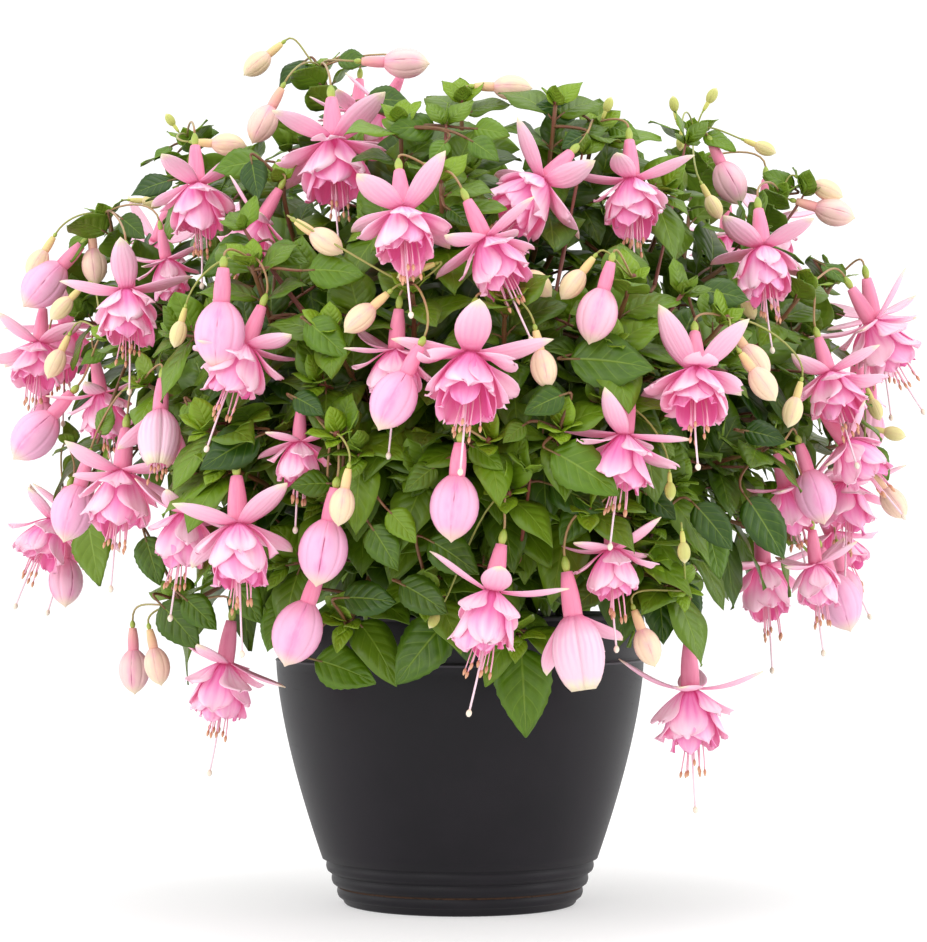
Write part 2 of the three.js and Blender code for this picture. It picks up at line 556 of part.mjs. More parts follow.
function potSolid() {
  const profile = [[0, 0], [POT.footRadius - POT.footRound, 0], [POT.footRadius, POT.footRound]];
  for (let k = 0; k < POT.rings; k++) {
    const low = POT.ringsFrom + k * POT.ringHeight;
    const radius = POT.footRadius + (k + 1) * POT.ringGrowth;
    const crest = low + POT.ringHeight * POT.ringCrest;
    profile.push([radius - POT.groove, low], [radius + POT.ringSwell, crest]);
  }
  const wallAt = (height) => {
    const share = (height - POT.wallFrom) / (POT.shoulder - POT.wallFrom);
    return POT.wallRadius + (POT.shoulderRadius - POT.wallRadius) * (1 - (1 - share) ** POT.wallPower);
  };
  const step = (POT.shoulder - POT.wallFrom) / POT.wallSteps;
  for (let k = 0; k <= POT.wallSteps; k++) {
    profile.push([wallAt(POT.wallFrom + k * step), POT.wallFrom + k * step]);
  }
  profile.push(
    [POT.shoulderRadius - POT.ledge, POT.shoulder + POT.ledgeRise],
    [POT.bandRadius, POT.bandMiddle],
    [POT.lipRadius, POT.height],
    [POT.lipRadius - POT.wall, POT.height],
  );
  for (let k = POT.wallSteps; k >= 1; k -= 2) {
    profile.push([wallAt(POT.wallFrom + k * step) - POT.wall, POT.wallFrom + k * step]);
  }
  profile.push([POT.footRadius + POT.ringGrowth - POT.wall, POT.floor], [0, POT.floor]);
  return toSolid(turned(profile, POT.sides));
}

function soilSolid() {
  const bottom = POT.floor + SOIL.gap;
  const inner = (radius) => (radius - POT.wall - SOIL.gap) * Math.cos(Math.PI / POT.sides);
  const body = turned([
    [0, bottom],
    [inner(POT.footRadius + POT.ringGrowth), bottom],
    [inner(POT.wallRadius), POT.wallFrom + POT.ringHeight],
    [inner(POT.shoulderRadius - SOIL.lowInset), SOIL.top - SOIL.slope],
    [inner(POT.shoulderRadius - SOIL.topInset), SOIL.top],
    [0, SOIL.top],
  ], SOIL.sides);
  const hole = turned([
    [0, CROWN.bottom - CROWN.clearance],
    [CROWN.radius + CROWN.clearance, CROWN.bottom - CROWN.clearance],
    [CROWN.radius + CROWN.clearance, SOIL.top + 1],
    [0, SOIL.top + 1],
  ], CROWN.sides);
  return toSolid(body).subtract(toSolid(hole));
}

// Twigs: the front sprays and tips, then those round the back.
function listTwigs() {
  const front = [...FRONT_SPRAYS, ...FRONT_TIPS].map((twig) => ({
    ...twig, angle: 0, tip: sightPoint(twig.hub, twig.inset, 0),
  }));
  front.forEach((twig) => twig.items?.forEach((item) => {
    const farthest = -twig.tip.y - SPRAY_DEPTH;
    item.places = DEPTH_STEPS.map(
      (step) => sightPoint(item.at, (item.inset ?? 0) + step, farthest - step));
  }));
  const rearItem = (row, angle, keys, i) => {
    const height = row.height - REAR_SPRAY.drops[i] - spread(REAR_SPRAY.dropSpread, 1, i, ...keys);
    const side = angle + degrees(REAR_SPRAY.sides[i] / canopyRadius(height));
    return {
      kind: REAR_SPRAY.items[i],
      size: REAR_SPRAY.sizes[i],
      plain: true,
      turn: Math.floor(90 * draw(2, i, ...keys)),
      lean: spread(REAR_SPRAY.leanSpread, 3, i, ...keys),
      face: REAR_SPRAY.face + spread(REAR_SPRAY.faceSpread, 4, i, ...keys),
      places: DEPTH_STEPS.map((step) => rimPoint(side, height, step)),
    };
  };
  const rear = REAR_ROWS.flatMap((row, r) => row.angles.map((angle, k) => ({
    name: `rear_${r + 1}_${k + 1}`,
    shoot: row.shoots[k],
    angle,
    items: REAR_SPRAY.items.map((_, i) => rearItem(row, angle, [r, k], i)),
    tip: rimPoint(angle, row.height, REAR_SPRAY.inset),
  })));
  const rearTips = REAR_TIPS.flatMap((row) => row.angles.map((angle, k) => ({
    shoot: row.shoots[k], angle, tip: rimPoint(angle, row.height, REAR_SPRAY.inset),
  })));
  return [...front, ...rear, ...rearTips];
}

const sample = (curve, steps) => Array.from({ length: steps + 1 }, (_, i) => curve.getPoint(i / steps));

// The woody stem of a shoot, from the crown towards the middle of the shoot's tips.
function woodCurve(tips) {
  const middle = tips.reduce((sum, tip) => sum.add(tip), vec(0, 0, 0)).divideScalar(tips.length);
  const start = vec(middle.x, middle.y, 0).setLength(WOOD.foot).setZ(CROWN.shoulder);
  const end = start.clone().lerp(middle, WOOD.reach).addScaledVector(UP, WOOD.rise);
  const reach = end.distanceTo(start);
  const heading = middle.clone().sub(start).normalize().addScaledVector(UP, WOOD.lift).normalize();
  return new THREE.CubicBezierCurve3(
    start,
    start.clone().addScaledVector(UP, WOOD.climb * reach),
    end.clone().addScaledVector(heading, -WOOD.arrive * reach),
    end,
  );
}

// A green twig from the end of its woody stem to its tip, upright at the top and arching over below.
function twigCurve(start, heading, tip) {
  const outward = vec(tip.x, tip.y, 0).normalize();
  const rise = THREE.MathUtils.clamp((tip.z - TWIG.levelAt) / TWIG.riseOver, TWIG.lowest, TWIG.steepest);
  const arrival = outward.multiplyScalar(TWIG.outward - Math.abs(rise))
    .addScaledVector(UP, rise)
    .normalize();
  const reach = tip.distanceTo(start);
  return new THREE.CubicBezierCurve3(
    start,
    start.clone().addScaledVector(heading, TWIG.leave * reach),
    tip.clone().addScaledVector(arrival, -TWIG.arrive * reach),
    tip,
  );
}

// The rings of a leaf from its root: a flat upper face over a keel, arched and drooping to its tip.
function leafRings(root, along, length) {
  const face = vec(root.x, root.y, 0).setLength(LEAF.faceOut).addScaledVector(UP, LEAF.faceUp);
  const across = face.cross(along).normalize();
  const upper = along.clone().cross(across);
  const midrib = (share) => root.clone()
    .addScaledVector(along, length * share)
    .addScaledVector(upper, length * LEAF.droop * (share - share * share))
    .addScaledVector(UP, -length * LEAF.droop * share * share);
  const outline = length < LEAF.fullFrom ? LEAF.plainOutline : LEAF.fullOutline;
  const rings = outline.map(([share, width]) => [
    midrib(share).addScaledVector(across, -width * length),
    midrib(share).addScaledVector(upper, -LEAF.thickness),
    midrib(share).addScaledVector(across, width * length),
  ]);
  return [...rings, [midrib(1)]];
}

// Where a twig carries leaves, and where else it bends, as distances along its route.
function twigStops(twig) {
  const length = twig.route.getLength();
  const count = Math.max(1, Math.floor((length - LEAF.firstAt) / LEAF.spacing));
  const nodes = Array.from({ length: count }, (_, k) => length - LEAF.endGap - k * LEAF.spacing);
  const stops = [0, ...nodes.toReversed().flatMap((node) => [node, node + LEAF.nodeHeight]), length];
  const bare = stops[1];
  if (bare > TWIG.bendOver) stops.splice(1, 0, bare / 2);
  return { nodes, stops };
}

// The rings of a twig along its route, from its woody stem to its tip.
function twigRings(twig, stops) {
  const length = twig.route.getLength();
  const points = stops.map((stop) => twig.route.getPointAt(Math.min(1, stop / length)));
  const radii = stops.map((stop) => THREE.MathUtils.lerp(TWIG.radius, TWIG.tipRadius, stop / length));
  if (twig.start) {
    points.unshift(twig.start);
    radii.unshift(TWIG.radius);
  }
  const side = twig.heading.clone().cross(vec(Math.sin(twig.key), Math.cos(twig.key), 0.1));
  return pathRings(points, radii, points.map(() => TWIG.sides), side);
}

// A twig with its leaves in pairs, each grown out of a face of the twig at its node.
function leafyTwig(twig) {
  const { nodes, stops } = twigStops(twig);
  const rings = twigRings(twig, stops);
  const shifted = rings.length - stops.length;
  const points = rings.flat();
  const faces = [];
  const number = (i, j) => i * TWIG.sides + j % TWIG.sides;
  for (let i = 0; i < rings.length - 1; i++) {
    const node = nodes.indexOf(stops[i - shifted]);
    for (let j = 0; j < TWIG.sides; j++) {
      const quad = [number(i, j), number(i, j + 1), number(i + 1, j + 1), number(i + 1, j)];
      const isBare = node < 0 || (j + node) % TWIG.sides === TWIG.sides - 1;
      const leaf = isBare ? null : clearLeaf(quad.map((each) => points[each]), twig, node, j);
      if (leaf) {
        let near = quad.map((_, k) => quad[(k + leaf.shift) % quad.length]);
        for (const ring of leaf.rings) {
          const far = ring.map((point) => points.push(point) - 1);
          bridge(faces, near, far);
          near = far;
        }
      } else {
        faces.push(quad[0], quad[1], quad[2], quad[0], quad[2], quad[3]);
      }
    }
  }
  cap(faces, [2, 1, 0]);
  cap(faces, [0, 1, 2].map((j) => number(rings.length - 1, j)));
  return toSolid(toBuffer(points, faces));
}

// A leaf on a quad of its twig's face, pointing the first way in which it is clear of all that stands.
function clearLeaf(quad, twig, node, j) {
  const root = quad.reduce((sum, point) => sum.add(point), vec(0, 0, 0)).divideScalar(quad.length);
  const forward = quad[3].clone().sub(quad[0]).normalize();
  const outward = quad[1].clone().sub(quad[0]).cross(forward).normalize();
  const sideways = forward.clone().cross(outward);
  const age = Math.min(1, LEAF.youngest + LEAF.growth * node);
  const length = (LEAF.length + spread(LEAF.lengthSpread, twig.key, node, j)) * age;
  const owner = `leaf ${twig.key} ${node}`;
  for (const swing of LEAF.swings) {
    for (const pitch of LEAF.pitches) {
      const along = outward.clone().multiplyScalar(Math.cos(radians(swing)))
        .addScaledVector(sideways, Math.sin(radians(swing)))
        .addScaledVector(forward, pitch).normalize();
      const rings = leafRings(root, along, length);
      const distances = quad.map((point) => point.distanceTo(rings[0][0]));
      const shift = distances.indexOf(Math.min(...distances));
      const foot = quad.map((_, k) => quad[(k + shift) % quad.length]);
      const solid = toSolid(loft([foot, ...rings]));
      if (isClear(solid, LEAF.clearance, [shootName(twig.shoot), owner])) {
        keep(solid, owner);
        return { rings, shift };
      }
    }
  }
  return null;
}

const fuchsia = new THREE.Group();

function addMesh(name, solid, finish) {
  const mesh = new THREE.Mesh(toGeometry(solid), new THREE.MeshStandardMaterial(finish));
  mesh.name = name;
  fuchsia.add(mesh);
}

const pot = potSolid();
const soil = soilSolid();
keep(pot, 'pot');
keep(soil, 'soil');
addMesh('pot', pot, FINISH.pot);
addMesh('soil', soil, FINISH.soil);

const twigs = listTwigs();
const shootNumbers = [...new Set(twigs.map((twig) => twig.shoot))].sort((a, b) => a - b);

// Crown and woody stems, one stem for each shoot.
const crown = toSolid(turned([
  [0, CROWN.bottom], [CROWN.radius, CROWN.bottom], [CROWN.radius, CROWN.shoulder], [0, CROWN.top],
], CROWN.sides));
const woodSolids = [crown];
for (const number of shootNumbers) {
  const own = twigs.filter((twig) => twig.shoot === number);
  const curve = woodCurve(own.map((twig) => twig.tip));
  const points = sample(curve, WOOD.steps);
  const radii = points.map((_, i) => THREE.MathUtils.lerp(WOOD.radius, WOOD.endRadius, i / WOOD.steps));
  woodSolids.push(toSolid(rod(points, radii, WOOD.sides)));
  const heading = points.at(-1).clone().sub(points.at(-2)).normalize();
  const start = points.at(-1).clone().addScaledVector(heading, TWIG.joint);
  const base = start.clone().addScaledVector(heading, TWIG.base);
  own.forEach((twig, i) => {
    twig.key = twigs.indexOf(twig);
    twig.route = twigCurve(base, heading, twig.tip);
    twig.start = i === 0 ? start : null;
    twig.heading = twig.route.getTangent(1);
    twig.hubMiddle = twig.tip.clone().addScaledVector(twig.heading, TWIG.joint + STALK.hubLength / 2);
  });
}
const wood = fuse(woodSolids);
keep(wood, 'wood');
addMesh('woody_stems', wood, FINISH.wood);

// Green twigs, one bundle for each shoot.
for (const number of shootNumbers) {
  const own = twigs.filter((twig) => twig.shoot === number);
  const rods = own.map((twig) => toSolid(loft(twigRings(twig, twigStops(twig).stops))));
  keep(fuse(rods), shootName(number));
}

// Flower sprays: each flower takes the first depth at which it is clear of what stands.
for (const spray of twigs.filter((twig) => twig.items)) {
  const from = spray.tip.clone().addScaledVector(spray.heading, TWIG.joint);
  const to = from.clone().addScaledVector(spray.heading, STALK.hubLength);
  const solids = [toSolid(rod([from, to], [STALK.hubRadius, STALK.hubEndRadius], STALK.hubSides))];
  const owner = `spray_${spray.name}`;
  for (const item of spray.items) {
    const options = item.places.map((neck) => itemSolid(item, spray, neck));
    solids.push(options.find((solid) => isClear(solid, FLOWER_CLEARANCE, [owner])) ?? options[0]);
  }
  const body = fuse(solids);
  keep(body, owner);
  addMesh(owner, body, FINISH.flower);
}

// Leafy shoots.
for (const number of shootNumbers) {
  const shoot = shootName(number);
  const own = twigs.filter((twig) => twig.shoot === number);
  addMesh(shoot, fuse(own.map(leafyTwig)), FINISH.leaf);
}

export default fuchsia;
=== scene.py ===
"""Dresses a double pink fuchsia in its pot: bark, leaves, buds and flowers, with studio and camera.

Sizes are in millimetres until a mesh is made. The places of twigs, flowers and leaves follow the same
rules as the part's own source, and are then found again in the frame's meshes.
"""

import logging
import math
from collections.abc import Callable, Sequence
from dataclasses import dataclass, field
from enum import Enum
from functools import partial
from typing import Any

import bpy
import numpy as np
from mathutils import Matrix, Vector, kdtree

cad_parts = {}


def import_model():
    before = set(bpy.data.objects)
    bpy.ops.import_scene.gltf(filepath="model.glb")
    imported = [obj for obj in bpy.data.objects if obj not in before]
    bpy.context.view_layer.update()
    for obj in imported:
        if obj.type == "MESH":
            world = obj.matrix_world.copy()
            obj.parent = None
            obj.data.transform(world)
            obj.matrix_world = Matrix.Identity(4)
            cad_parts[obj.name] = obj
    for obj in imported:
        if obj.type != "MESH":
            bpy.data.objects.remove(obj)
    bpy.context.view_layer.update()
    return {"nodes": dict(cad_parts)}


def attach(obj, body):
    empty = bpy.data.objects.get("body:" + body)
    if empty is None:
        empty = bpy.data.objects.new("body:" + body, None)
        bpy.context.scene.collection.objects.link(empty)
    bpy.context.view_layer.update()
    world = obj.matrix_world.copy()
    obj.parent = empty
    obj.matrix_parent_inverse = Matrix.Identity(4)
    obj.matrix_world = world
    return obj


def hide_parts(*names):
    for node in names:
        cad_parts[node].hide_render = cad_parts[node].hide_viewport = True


LOG = logging.getLogger("fuchsia")
MM = 0.001
RIGHT = np.array([1.0, 0.0, 0.0])
FRONT = np.array([0.0, -1.0, 0.0])
UP = np.array([0.0, 0.0, 1.0])
STEEP = 0.9
MATCH = 0.6
QUARTER = math.pi / 2

Pixel = tuple[float, float]
Keys = tuple[int, int]


class Kind(Enum):
    """What hangs at the end of a stalk."""

    BUD = "bud"
    OPENING = "opening"
    BLOOM = "bloom"


class Finish(Enum):
    """The surfaces that get a material of their own."""

    POT = "charcoal_plastic"
    SOIL = "potting_compost"
    BARK = "red_brown_bark"
    TWIG = "green_twig"
    LEAF = "leaf_blade"
    STALK = "flower_stalk"
    OVARY = "green_ovary"
    TUBE = "rosy_tube"
    SEPAL = "pale_sepal"
    PETAL = "pink_petal"
    BUD = "closed_bud"
    FILAMENT = "pink_filament"
    ANTHER = "russet_anther"
    STYLE = "long_style"
    STIGMA = "cream_stigma"


def draw(*keys: int) -> float:
    """Draws a number that depends only on whole-number keys.

    Args:
        keys: the keys.

    Returns:
        A number from 0 to 1.
    """
    value = 0x811C9DC5
    for key in keys:
        value = ((value ^ key) * 16777619) & 0xFFFFFFFF
        value ^= value >> 15
        value = (value * 2246822519) & 0xFFFFFFFF
        value ^= value >> 13
    return value / 4294967296


def spread(amount: float, *keys: int) -> float:
    """Returns a number from -amount to amount that depends only on its keys."""
    return amount * (2 * draw(*keys) - 1)


def unit(vector: np.ndarray) -> np.ndarray:
    """Returns a vector, or rows of vectors, at length 1."""
    return vector / np.maximum(np.linalg.norm(vector, axis=-1, keepdims=True), 1e-9)


def across_to(vector: np.ndarray, along: np.ndarray) -> np.ndarray:
    """Returns the part of a vector that is square to a direction, at length 1."""
    return unit(vector - along * np.sum(vector * along, axis=-1, keepdims=True))


def turned(first: np.ndarray, second: np.ndarray, angle: float | np.ndarray) -> np.ndarray:
    """Returns the first direction turned by an angle in radians towards the second."""
    return first * np.cos(angle) + second * np.sin(angle)


def outward_at(point: np.ndarray) -> np.ndarray:
    """Returns the level direction from the pot's axis to a point."""
    return unit(point * np.array([1.0, 1.0, 0.0]))


def level_to(heading: np.ndarray) -> np.ndarray:
    """Returns a direction square to a heading, upright if it can be."""
    return across_to(UP if abs(heading[2]) < STEEP else RIGHT, heading)


@dataclass(frozen=True)
class View:
    """The photograph's view: its size in pixels, its scale at the pot's axis and where the eye stands."""

    width: int = 927
    height: int = 942
    mm_per_pixel: float = 0.625
    axis_pixel: float = 460
    floor_pixel: float = 901
    eye_height: float = 215
    distance: float = 1781
    rounds: int = 10

    def at_depth(self, pixel: Pixel, y: float) -> np.ndarray:
        """Finds the point with a given y that the photograph shows at a pixel.

        Args:
            pixel: column and row in the photograph.
            y: how far behind the pot's axis the point lies.

        Returns:
            The point.
        """
        across = (pixel[0] - self.axis_pixel) * self.mm_per_pixel
        rise = (self.floor_pixel - pixel[1]) * self.mm_per_pixel - self.eye_height
        scale = (self.distance + y) / self.distance
        return np.array([across * scale, y, self.eye_height + rise * scale])


@dataclass(frozen=True)
class Canopy:
    """The surface of revolution that the shoot tips and the flowers reach."""

    centre: float = 310
    radius: float = 268
    half_height: float = 236
    power: float = 2.2
    view: View = View()

    def reach(self, height: float) -> float:
        """Returns the canopy's radius at a height."""
        share = min(1.0, abs(height - self.centre) / self.half_height)
        return self.radius * (1 - share**self.power) ** (1 / self.power)

    def sight_point(self, pixel: Pixel, inset: float, front: float = 0) -> np.ndarray:
        """Finds the point that the photograph shows at a pixel.

        Args:
            pixel: column and row in the photograph.
            inset: how far inside the canopy's surface the point lies.
            front: how far it stands in front of the pot's axis at least.

        Returns:
            The point.
        """
        point = self.view.at_depth(pixel, 0.0)
        for _ in range(self.view.rounds):
            reach = max(0.0, self.reach(point[2]) - inset)
            point = self.view.at_depth(pixel, -max(front, math.sqrt(max(0.0, reach**2 - point[0] ** 2))))
        return point

    def depth(self, point: np.ndarray) -> float:
        """Returns about how far a point lies below the canopy's surface."""
        shares = (math.hypot(*point[:2]) / self.radius, abs(point[2] - self.centre) / self.half_height)
        return self.radius * (1 - sum(share**self.power for share in shares) ** (1 / self.power))

    def rim_point(self, angle: float, height: float, inset: float) -> np.ndarray:
        """Returns the point at an angle from the front about the pot's axis, and a height."""
        reach = self.reach(height) - inset
        return turned(FRONT, RIGHT, math.radians(angle)) * reach + UP * height


class Bend:
    """A cubic curve between four points."""

    DIVISIONS = 200
    NUDGE = 0.0001

    def __init__(self, *points: np.ndarray) -> None:
        """Stores the four points and measures the curve."""
        self.points = np.array(points)
        steps = self.at(np.linspace(0, 1, self.DIVISIONS + 1))
        gaps = np.linalg.norm(np.diff(steps, axis=0), axis=1)
        self.lengths = np.concatenate([[0], np.cumsum(gaps)])
        self.length = float(self.lengths[-1])

    def at(self, share: np.ndarray | float) -> np.ndarray:
        """Finds points at shares of the curve's own parameter.

        Args:
            share: one share from 0 to 1, or several.

        Returns:
            A point, or a row for each share.
        """
        t = np.asarray(share, float)[..., None]
        a, b, c, d = self.points
        return (1 - t) ** 3 * a + 3 * (1 - t) ** 2 * t * b + 3 * (1 - t) * t**2 * c + t**3 * d

    def along(self, distance: np.ndarray | float) -> np.ndarray:
        """Returns points at distances along the curve from its start."""
        return self.at(np.interp(distance, self.lengths, np.linspace(0, 1, self.DIVISIONS + 1)))

    def steps(self, count: int) -> np.ndarray:
        """Returns a number of points that are evenly spaced along the curve."""
        return self.along(np.linspace(0, self.length, count))

    def tangent(self) -> np.ndarray:
        """Returns the curve's direction at its end."""
        return unit(self.at(1.0) - self.at(1 - self.NUDGE))


@dataclass(frozen=True)
class Axes:
    """A flower's own axes: its neck, the way it hangs and the two ways across."""

    neck: np.ndarray
    hang: np.ndarray
    side: np.ndarray
    other: np.ndarray

    def below(self, depth: float) -> np.ndarray:
        """Returns the point at a depth below the neck."""
        return self.neck + self.hang * depth

    def place(self, *where: np.ndarray | float) -> np.ndarray:
        """Returns points at a radius, an angle in radians and a depth below the neck."""
        radius, angle, depth = (value[..., None] for value in np.broadcast_arrays(*where))
        return self.neck + turned(self.side, self.other, angle) * radius + self.hang * depth


@dataclass
class Item:
    """One flower or bud as the part's source lists it."""

    kind: Kind
    at: Pixel
    lean: float
    size: float
    inset: float = 0
    turn: float = 0
    face: float = 0
    is_plain: bool = False
    places: list[np.ndarray] = field(default_factory=list)

    def axes(self, neck: np.ndarray, angle: float) -> Axes:
        """Works out the item's axes.

        Args:
            neck: where its tube ends.
            angle: where its viewer stands round the pot, in degrees from the front.

        Returns:
            The axes.
        """
        around, lean, face, own = np.radians([angle, self.lean, self.face, self.turn])
        right, viewer = turned(RIGHT, -FRONT, around), turned(FRONT, RIGHT, around)
        hang = turned(turned(-UP, right, lean), viewer, face)
        first = across_to(right if abs(hang @ right) < STEEP else UP, hang)
        side = turned(first, np.cross(hang, first), own)
        return Axes(neck, hang, side, np.cross(hang, side))


bud = partial(Item, Kind.BUD)
opening = partial(Item, Kind.OPENING)
bloom = partial(Item, Kind.BLOOM)
plain = partial(Item, Kind.BLOOM, is_plain=True)


@dataclass
class Twig:
    """A green twig from a woody stem to its tip, with the flowers that hang from it."""

    shoot: int
    tip: np.ndarray
    angle: float = 0
    name: str = ""
    items: list[Item] = field(default_factory=list)
    key: int = 0
    route: Bend | None = None
    start: np.ndarray | None = None
    heading: np.ndarray | None = None
    hub: np.ndarray | None = None


@dataclass(frozen=True)
class Spray:
    """Where a front twig ends, by the photograph's pixels, and what hangs from it."""

    name: str
    shoot: int
    hub: Pixel
    inset: float
    items: Sequence[Item] = ()


# Each item gives the pixel of its neck, its lean from straight down in degrees, its size and how far
# inside the canopy it hangs. Flowers then give the turn of their first sepal and their tilt forwards.
FRONT_SPRAYS = [
    Spray("crest", 1, (322, 72), 58, [
        bud((384, 60), 88, 0.78, 52), bloom((333, 137), 4, 1.16, 52, 45, 22),
        plain((357, 108), -4, 0.85, 114, 20), plain((386, 103), -28, 0.85, 104, 10, -10),
        bud((268, 52), -50, 0.6, 52), bud((271, 105), -28, 0.72, 52),
    ]),
    Spray("upper_left", 2, (188, 142), 54, [
        bloom((196, 181), 4, 1, 44, 30, 12), bud((211, 142), 86, 0.6, 44),
        bud((173, 124), -145, 0.27, 44),
    ]),
    Spray("inner_left", 2, (280, 178), 60, [
        plain((262, 217), -30, 0.85, 62, 0),
    ]),
    Spray("far_left_high", 3, (106, 219), 26, [
        bud((44, 250), -32, 0.58, 56), bud((61, 265), -43, 1.02, 22), bud((92, 248), 5, 0.68, 30),
        bloom((126, 288), 4, 1.02, 26, 0, 20), bud((141, 200), 86, 0.42, 42),
        plain((165, 257), 10, 0.75, 74, 30),
    ]),
    Spray("crown_bud", 4, (462, 98), 50, [
        bud((494, 85), 88, 0.64, 40),
    ]),
    Spray("upper_middle", 4, (441, 178), 14, [
        bloom((402, 207), 5, 1.05, -2, 40, 26), plain((484, 236), 24, 0.98, 4, 35, 10),
    ]),
    Spray("upper_right", 5, (594, 128), 46, [
        bloom((545, 179), -42, 1.05, 34, 40, 22), bloom((632, 176), 2, 1, 38, 20, 16),
        bud((606, 110), 158, 0.27, 34),
    ]),
    Spray("right_crest", 6, (692, 132), 66, [
        bud((676, 110), -172, 0.3, 56), bud((709, 101), 150, 0.32, 56), bud((682, 134), -4, 0.27, 56),
        bud((756, 143), 68, 0.42, 56), bud((722, 162), 25, 0.84, 56), bud((709, 195), 28, 0.45, 62),
    ]),
    Spray("right_high", 6, (778, 196), 60, [
        bud((815, 183), 66, 0.58, 84), bud((817, 206), 74, 0.74, 44),
        bloom((763, 245), 3, 1.05, 44, 45, 20),
    ]),
    Spray("far_right", 7, (806, 288), 34, [
        plain((871, 320), 30, 1, 32, 25), plain((829, 371), 14, 0.95, 24, 40, 18),
        bud((745, 297), 24, 0.42, 28),
    ]),
    Spray("right_middle", 8, (724, 322), 16, [
        bloom((696, 367), -2, 1.04, -4, 45, 34), bud((745, 346), 36, 0.64, 14),
        bud((753, 369), 36, 0.62, -8), bud((797, 397), -16, 0.52, 10),
    ]),
    Spray("far_right_low", 7, (850, 402), 28, [
        bud((872, 399), 22, 0.42, 36), bud((884, 431), 76, 0.42, 40),
        plain((844, 440), 38, 0.9, 18, 45), bud((884, 489), 36, 0.66, 52),
    ]),
    Spray("right_low", 9, (772, 446), 42, [
        plain((785, 486), 14, 0.88, 56, 10), bud((808, 471), 17, 0.95, 26),
        plain((815, 562), 5, 0.85, 74, 45),
    ]),
    Spray("right_hanging", 9, (786, 530), 50, [
        plain((763, 563), 4, 1.05, 40, 30, 6), bud((830, 576), 20, 1.05, 40),
    ]),
    Spray("low_right", 10, (680, 590), 20, [
        bud((683, 542), 5, 0.34, -12), bud((641, 629), 20, 0.64, 0),
        bloom((690, 686), 2, 1.1, 4, 10, 2),
    ]),
    Spray("middle_right", 8, (632, 282), 8, [
        bud((604, 289), -15, 0.88, -2), bud((583, 271), -38, 0.55, 6),
    ]),
    Spray("centre_right", 11, (610, 405), 16, [
        plain((625, 433), -8, 0.98, 2, 20, 10), bud((670, 482), 2, 0.3, 2),
    ]),
    Spray("low_middle", 10, (588, 510), 14, [
        plain((612, 547), 2, 0.88, 14, 40, 8), opening((573, 616), 8, 1.08, -8, 45, 4),
    ]),
    Spray("low_front", 12, (508, 494), 12, [
        bloom((493, 588), -11, 1.06, -6, 0, 6), bud((438, 613), -30, 0.28, 14),
    ]),
    Spray("centre", 11, (506, 302), 14, [
        bloom((471, 352), -5, 1.14, -8, 0, 28), bud((540, 350), 12, 0.62, 4),
        bud((527, 272), 46, 0.54, 4),
    ]),
    Spray("centre_low", 12, (488, 442), 10, [
        bud((457, 476), -5, 1.02, -4),
    ]),
    Spray("centre_left", 13, (412, 290), 18, [
        plain((396, 347), -4, 0.92, 10, 45), bud((406, 374), -26, 0.95, -16),
        bud((373, 306), -48, 0.6, 4), bud((422, 268), -70, 0.42, 4), bud((311, 231), 56, 0.6, 4),
    ]),
    Spray("left_low", 13, (338, 436), 12, [
        bud((345, 488), -10, 0.6, -8), bud((329, 521), -11, 1.04, 10),
        plain((299, 440), -2, 0.78, 24, 30, 6), bud((308, 603), -20, 1.06, 0),
    ]),
    Spray("left_middle", 14, (250, 262), 12, [
        bud((221, 302), -3, 1.08, -8), plain((247, 343), -20, 0.98, 24, 45, 10),
        bud((181, 321), -15, 0.44, 6),
    ]),
    Spray("far_left", 3, (112, 338), 44, [
        bud((52, 415), -41, 1.04, 26), bud((61, 350), -26, 0.56, 26), bud((70, 298), -44, 0.52, 56),
        plain((100, 391), 10, 0.88, 60, 0),
    ]),
    Spray("left_hanging", 14, (146, 384), 41, [
        opening((160, 412), 0, 0.92, 27, 30, 24), bloom((122, 470), -3, 1.12, 25, 45, 18),
        bud((80, 486), -16, 1, 47),
    ]),
    Spray("low_left", 15, (222, 466), 14, [
        plain((186, 511), -8, 0.95, 22, 20, 2), bloom((238, 522), 3, 1.14, -6, 45, 14),
    ]),
    Spray("trailing_left", 15, (180, 604), 52, [
        bud((134, 650), 2, 0.78, 50), bud((154, 648), 12, 0.66, 18),
        bloom((226, 660), -8, 1.04, 38, 15),
    ]),
]
FRONT_TIPS = [
    Spray("", 12, (520, 636), 30), Spray("", 12, (428, 596), 24), Spray("", 13, (346, 624), 26),
    Spray("", 11, (560, 430), 6), Spray("", 14, (206, 430), 14), Spray("", 13, (330, 330), 16),
    Spray("", 1, (400, 118), 24), Spray("", 5, (556, 100), 20), Spray("", 10, (650, 560), 24),
    Spray("", 8, (612, 344), 14),
]


@dataclass(frozen=True)
class FrontLeaf:
    """A leaf that stands out in the photograph: the pixels of its root and tip, its inset and its youth."""

    root: Pixel
    tip: Pixel
    inset: float = 8
    young: float = 0


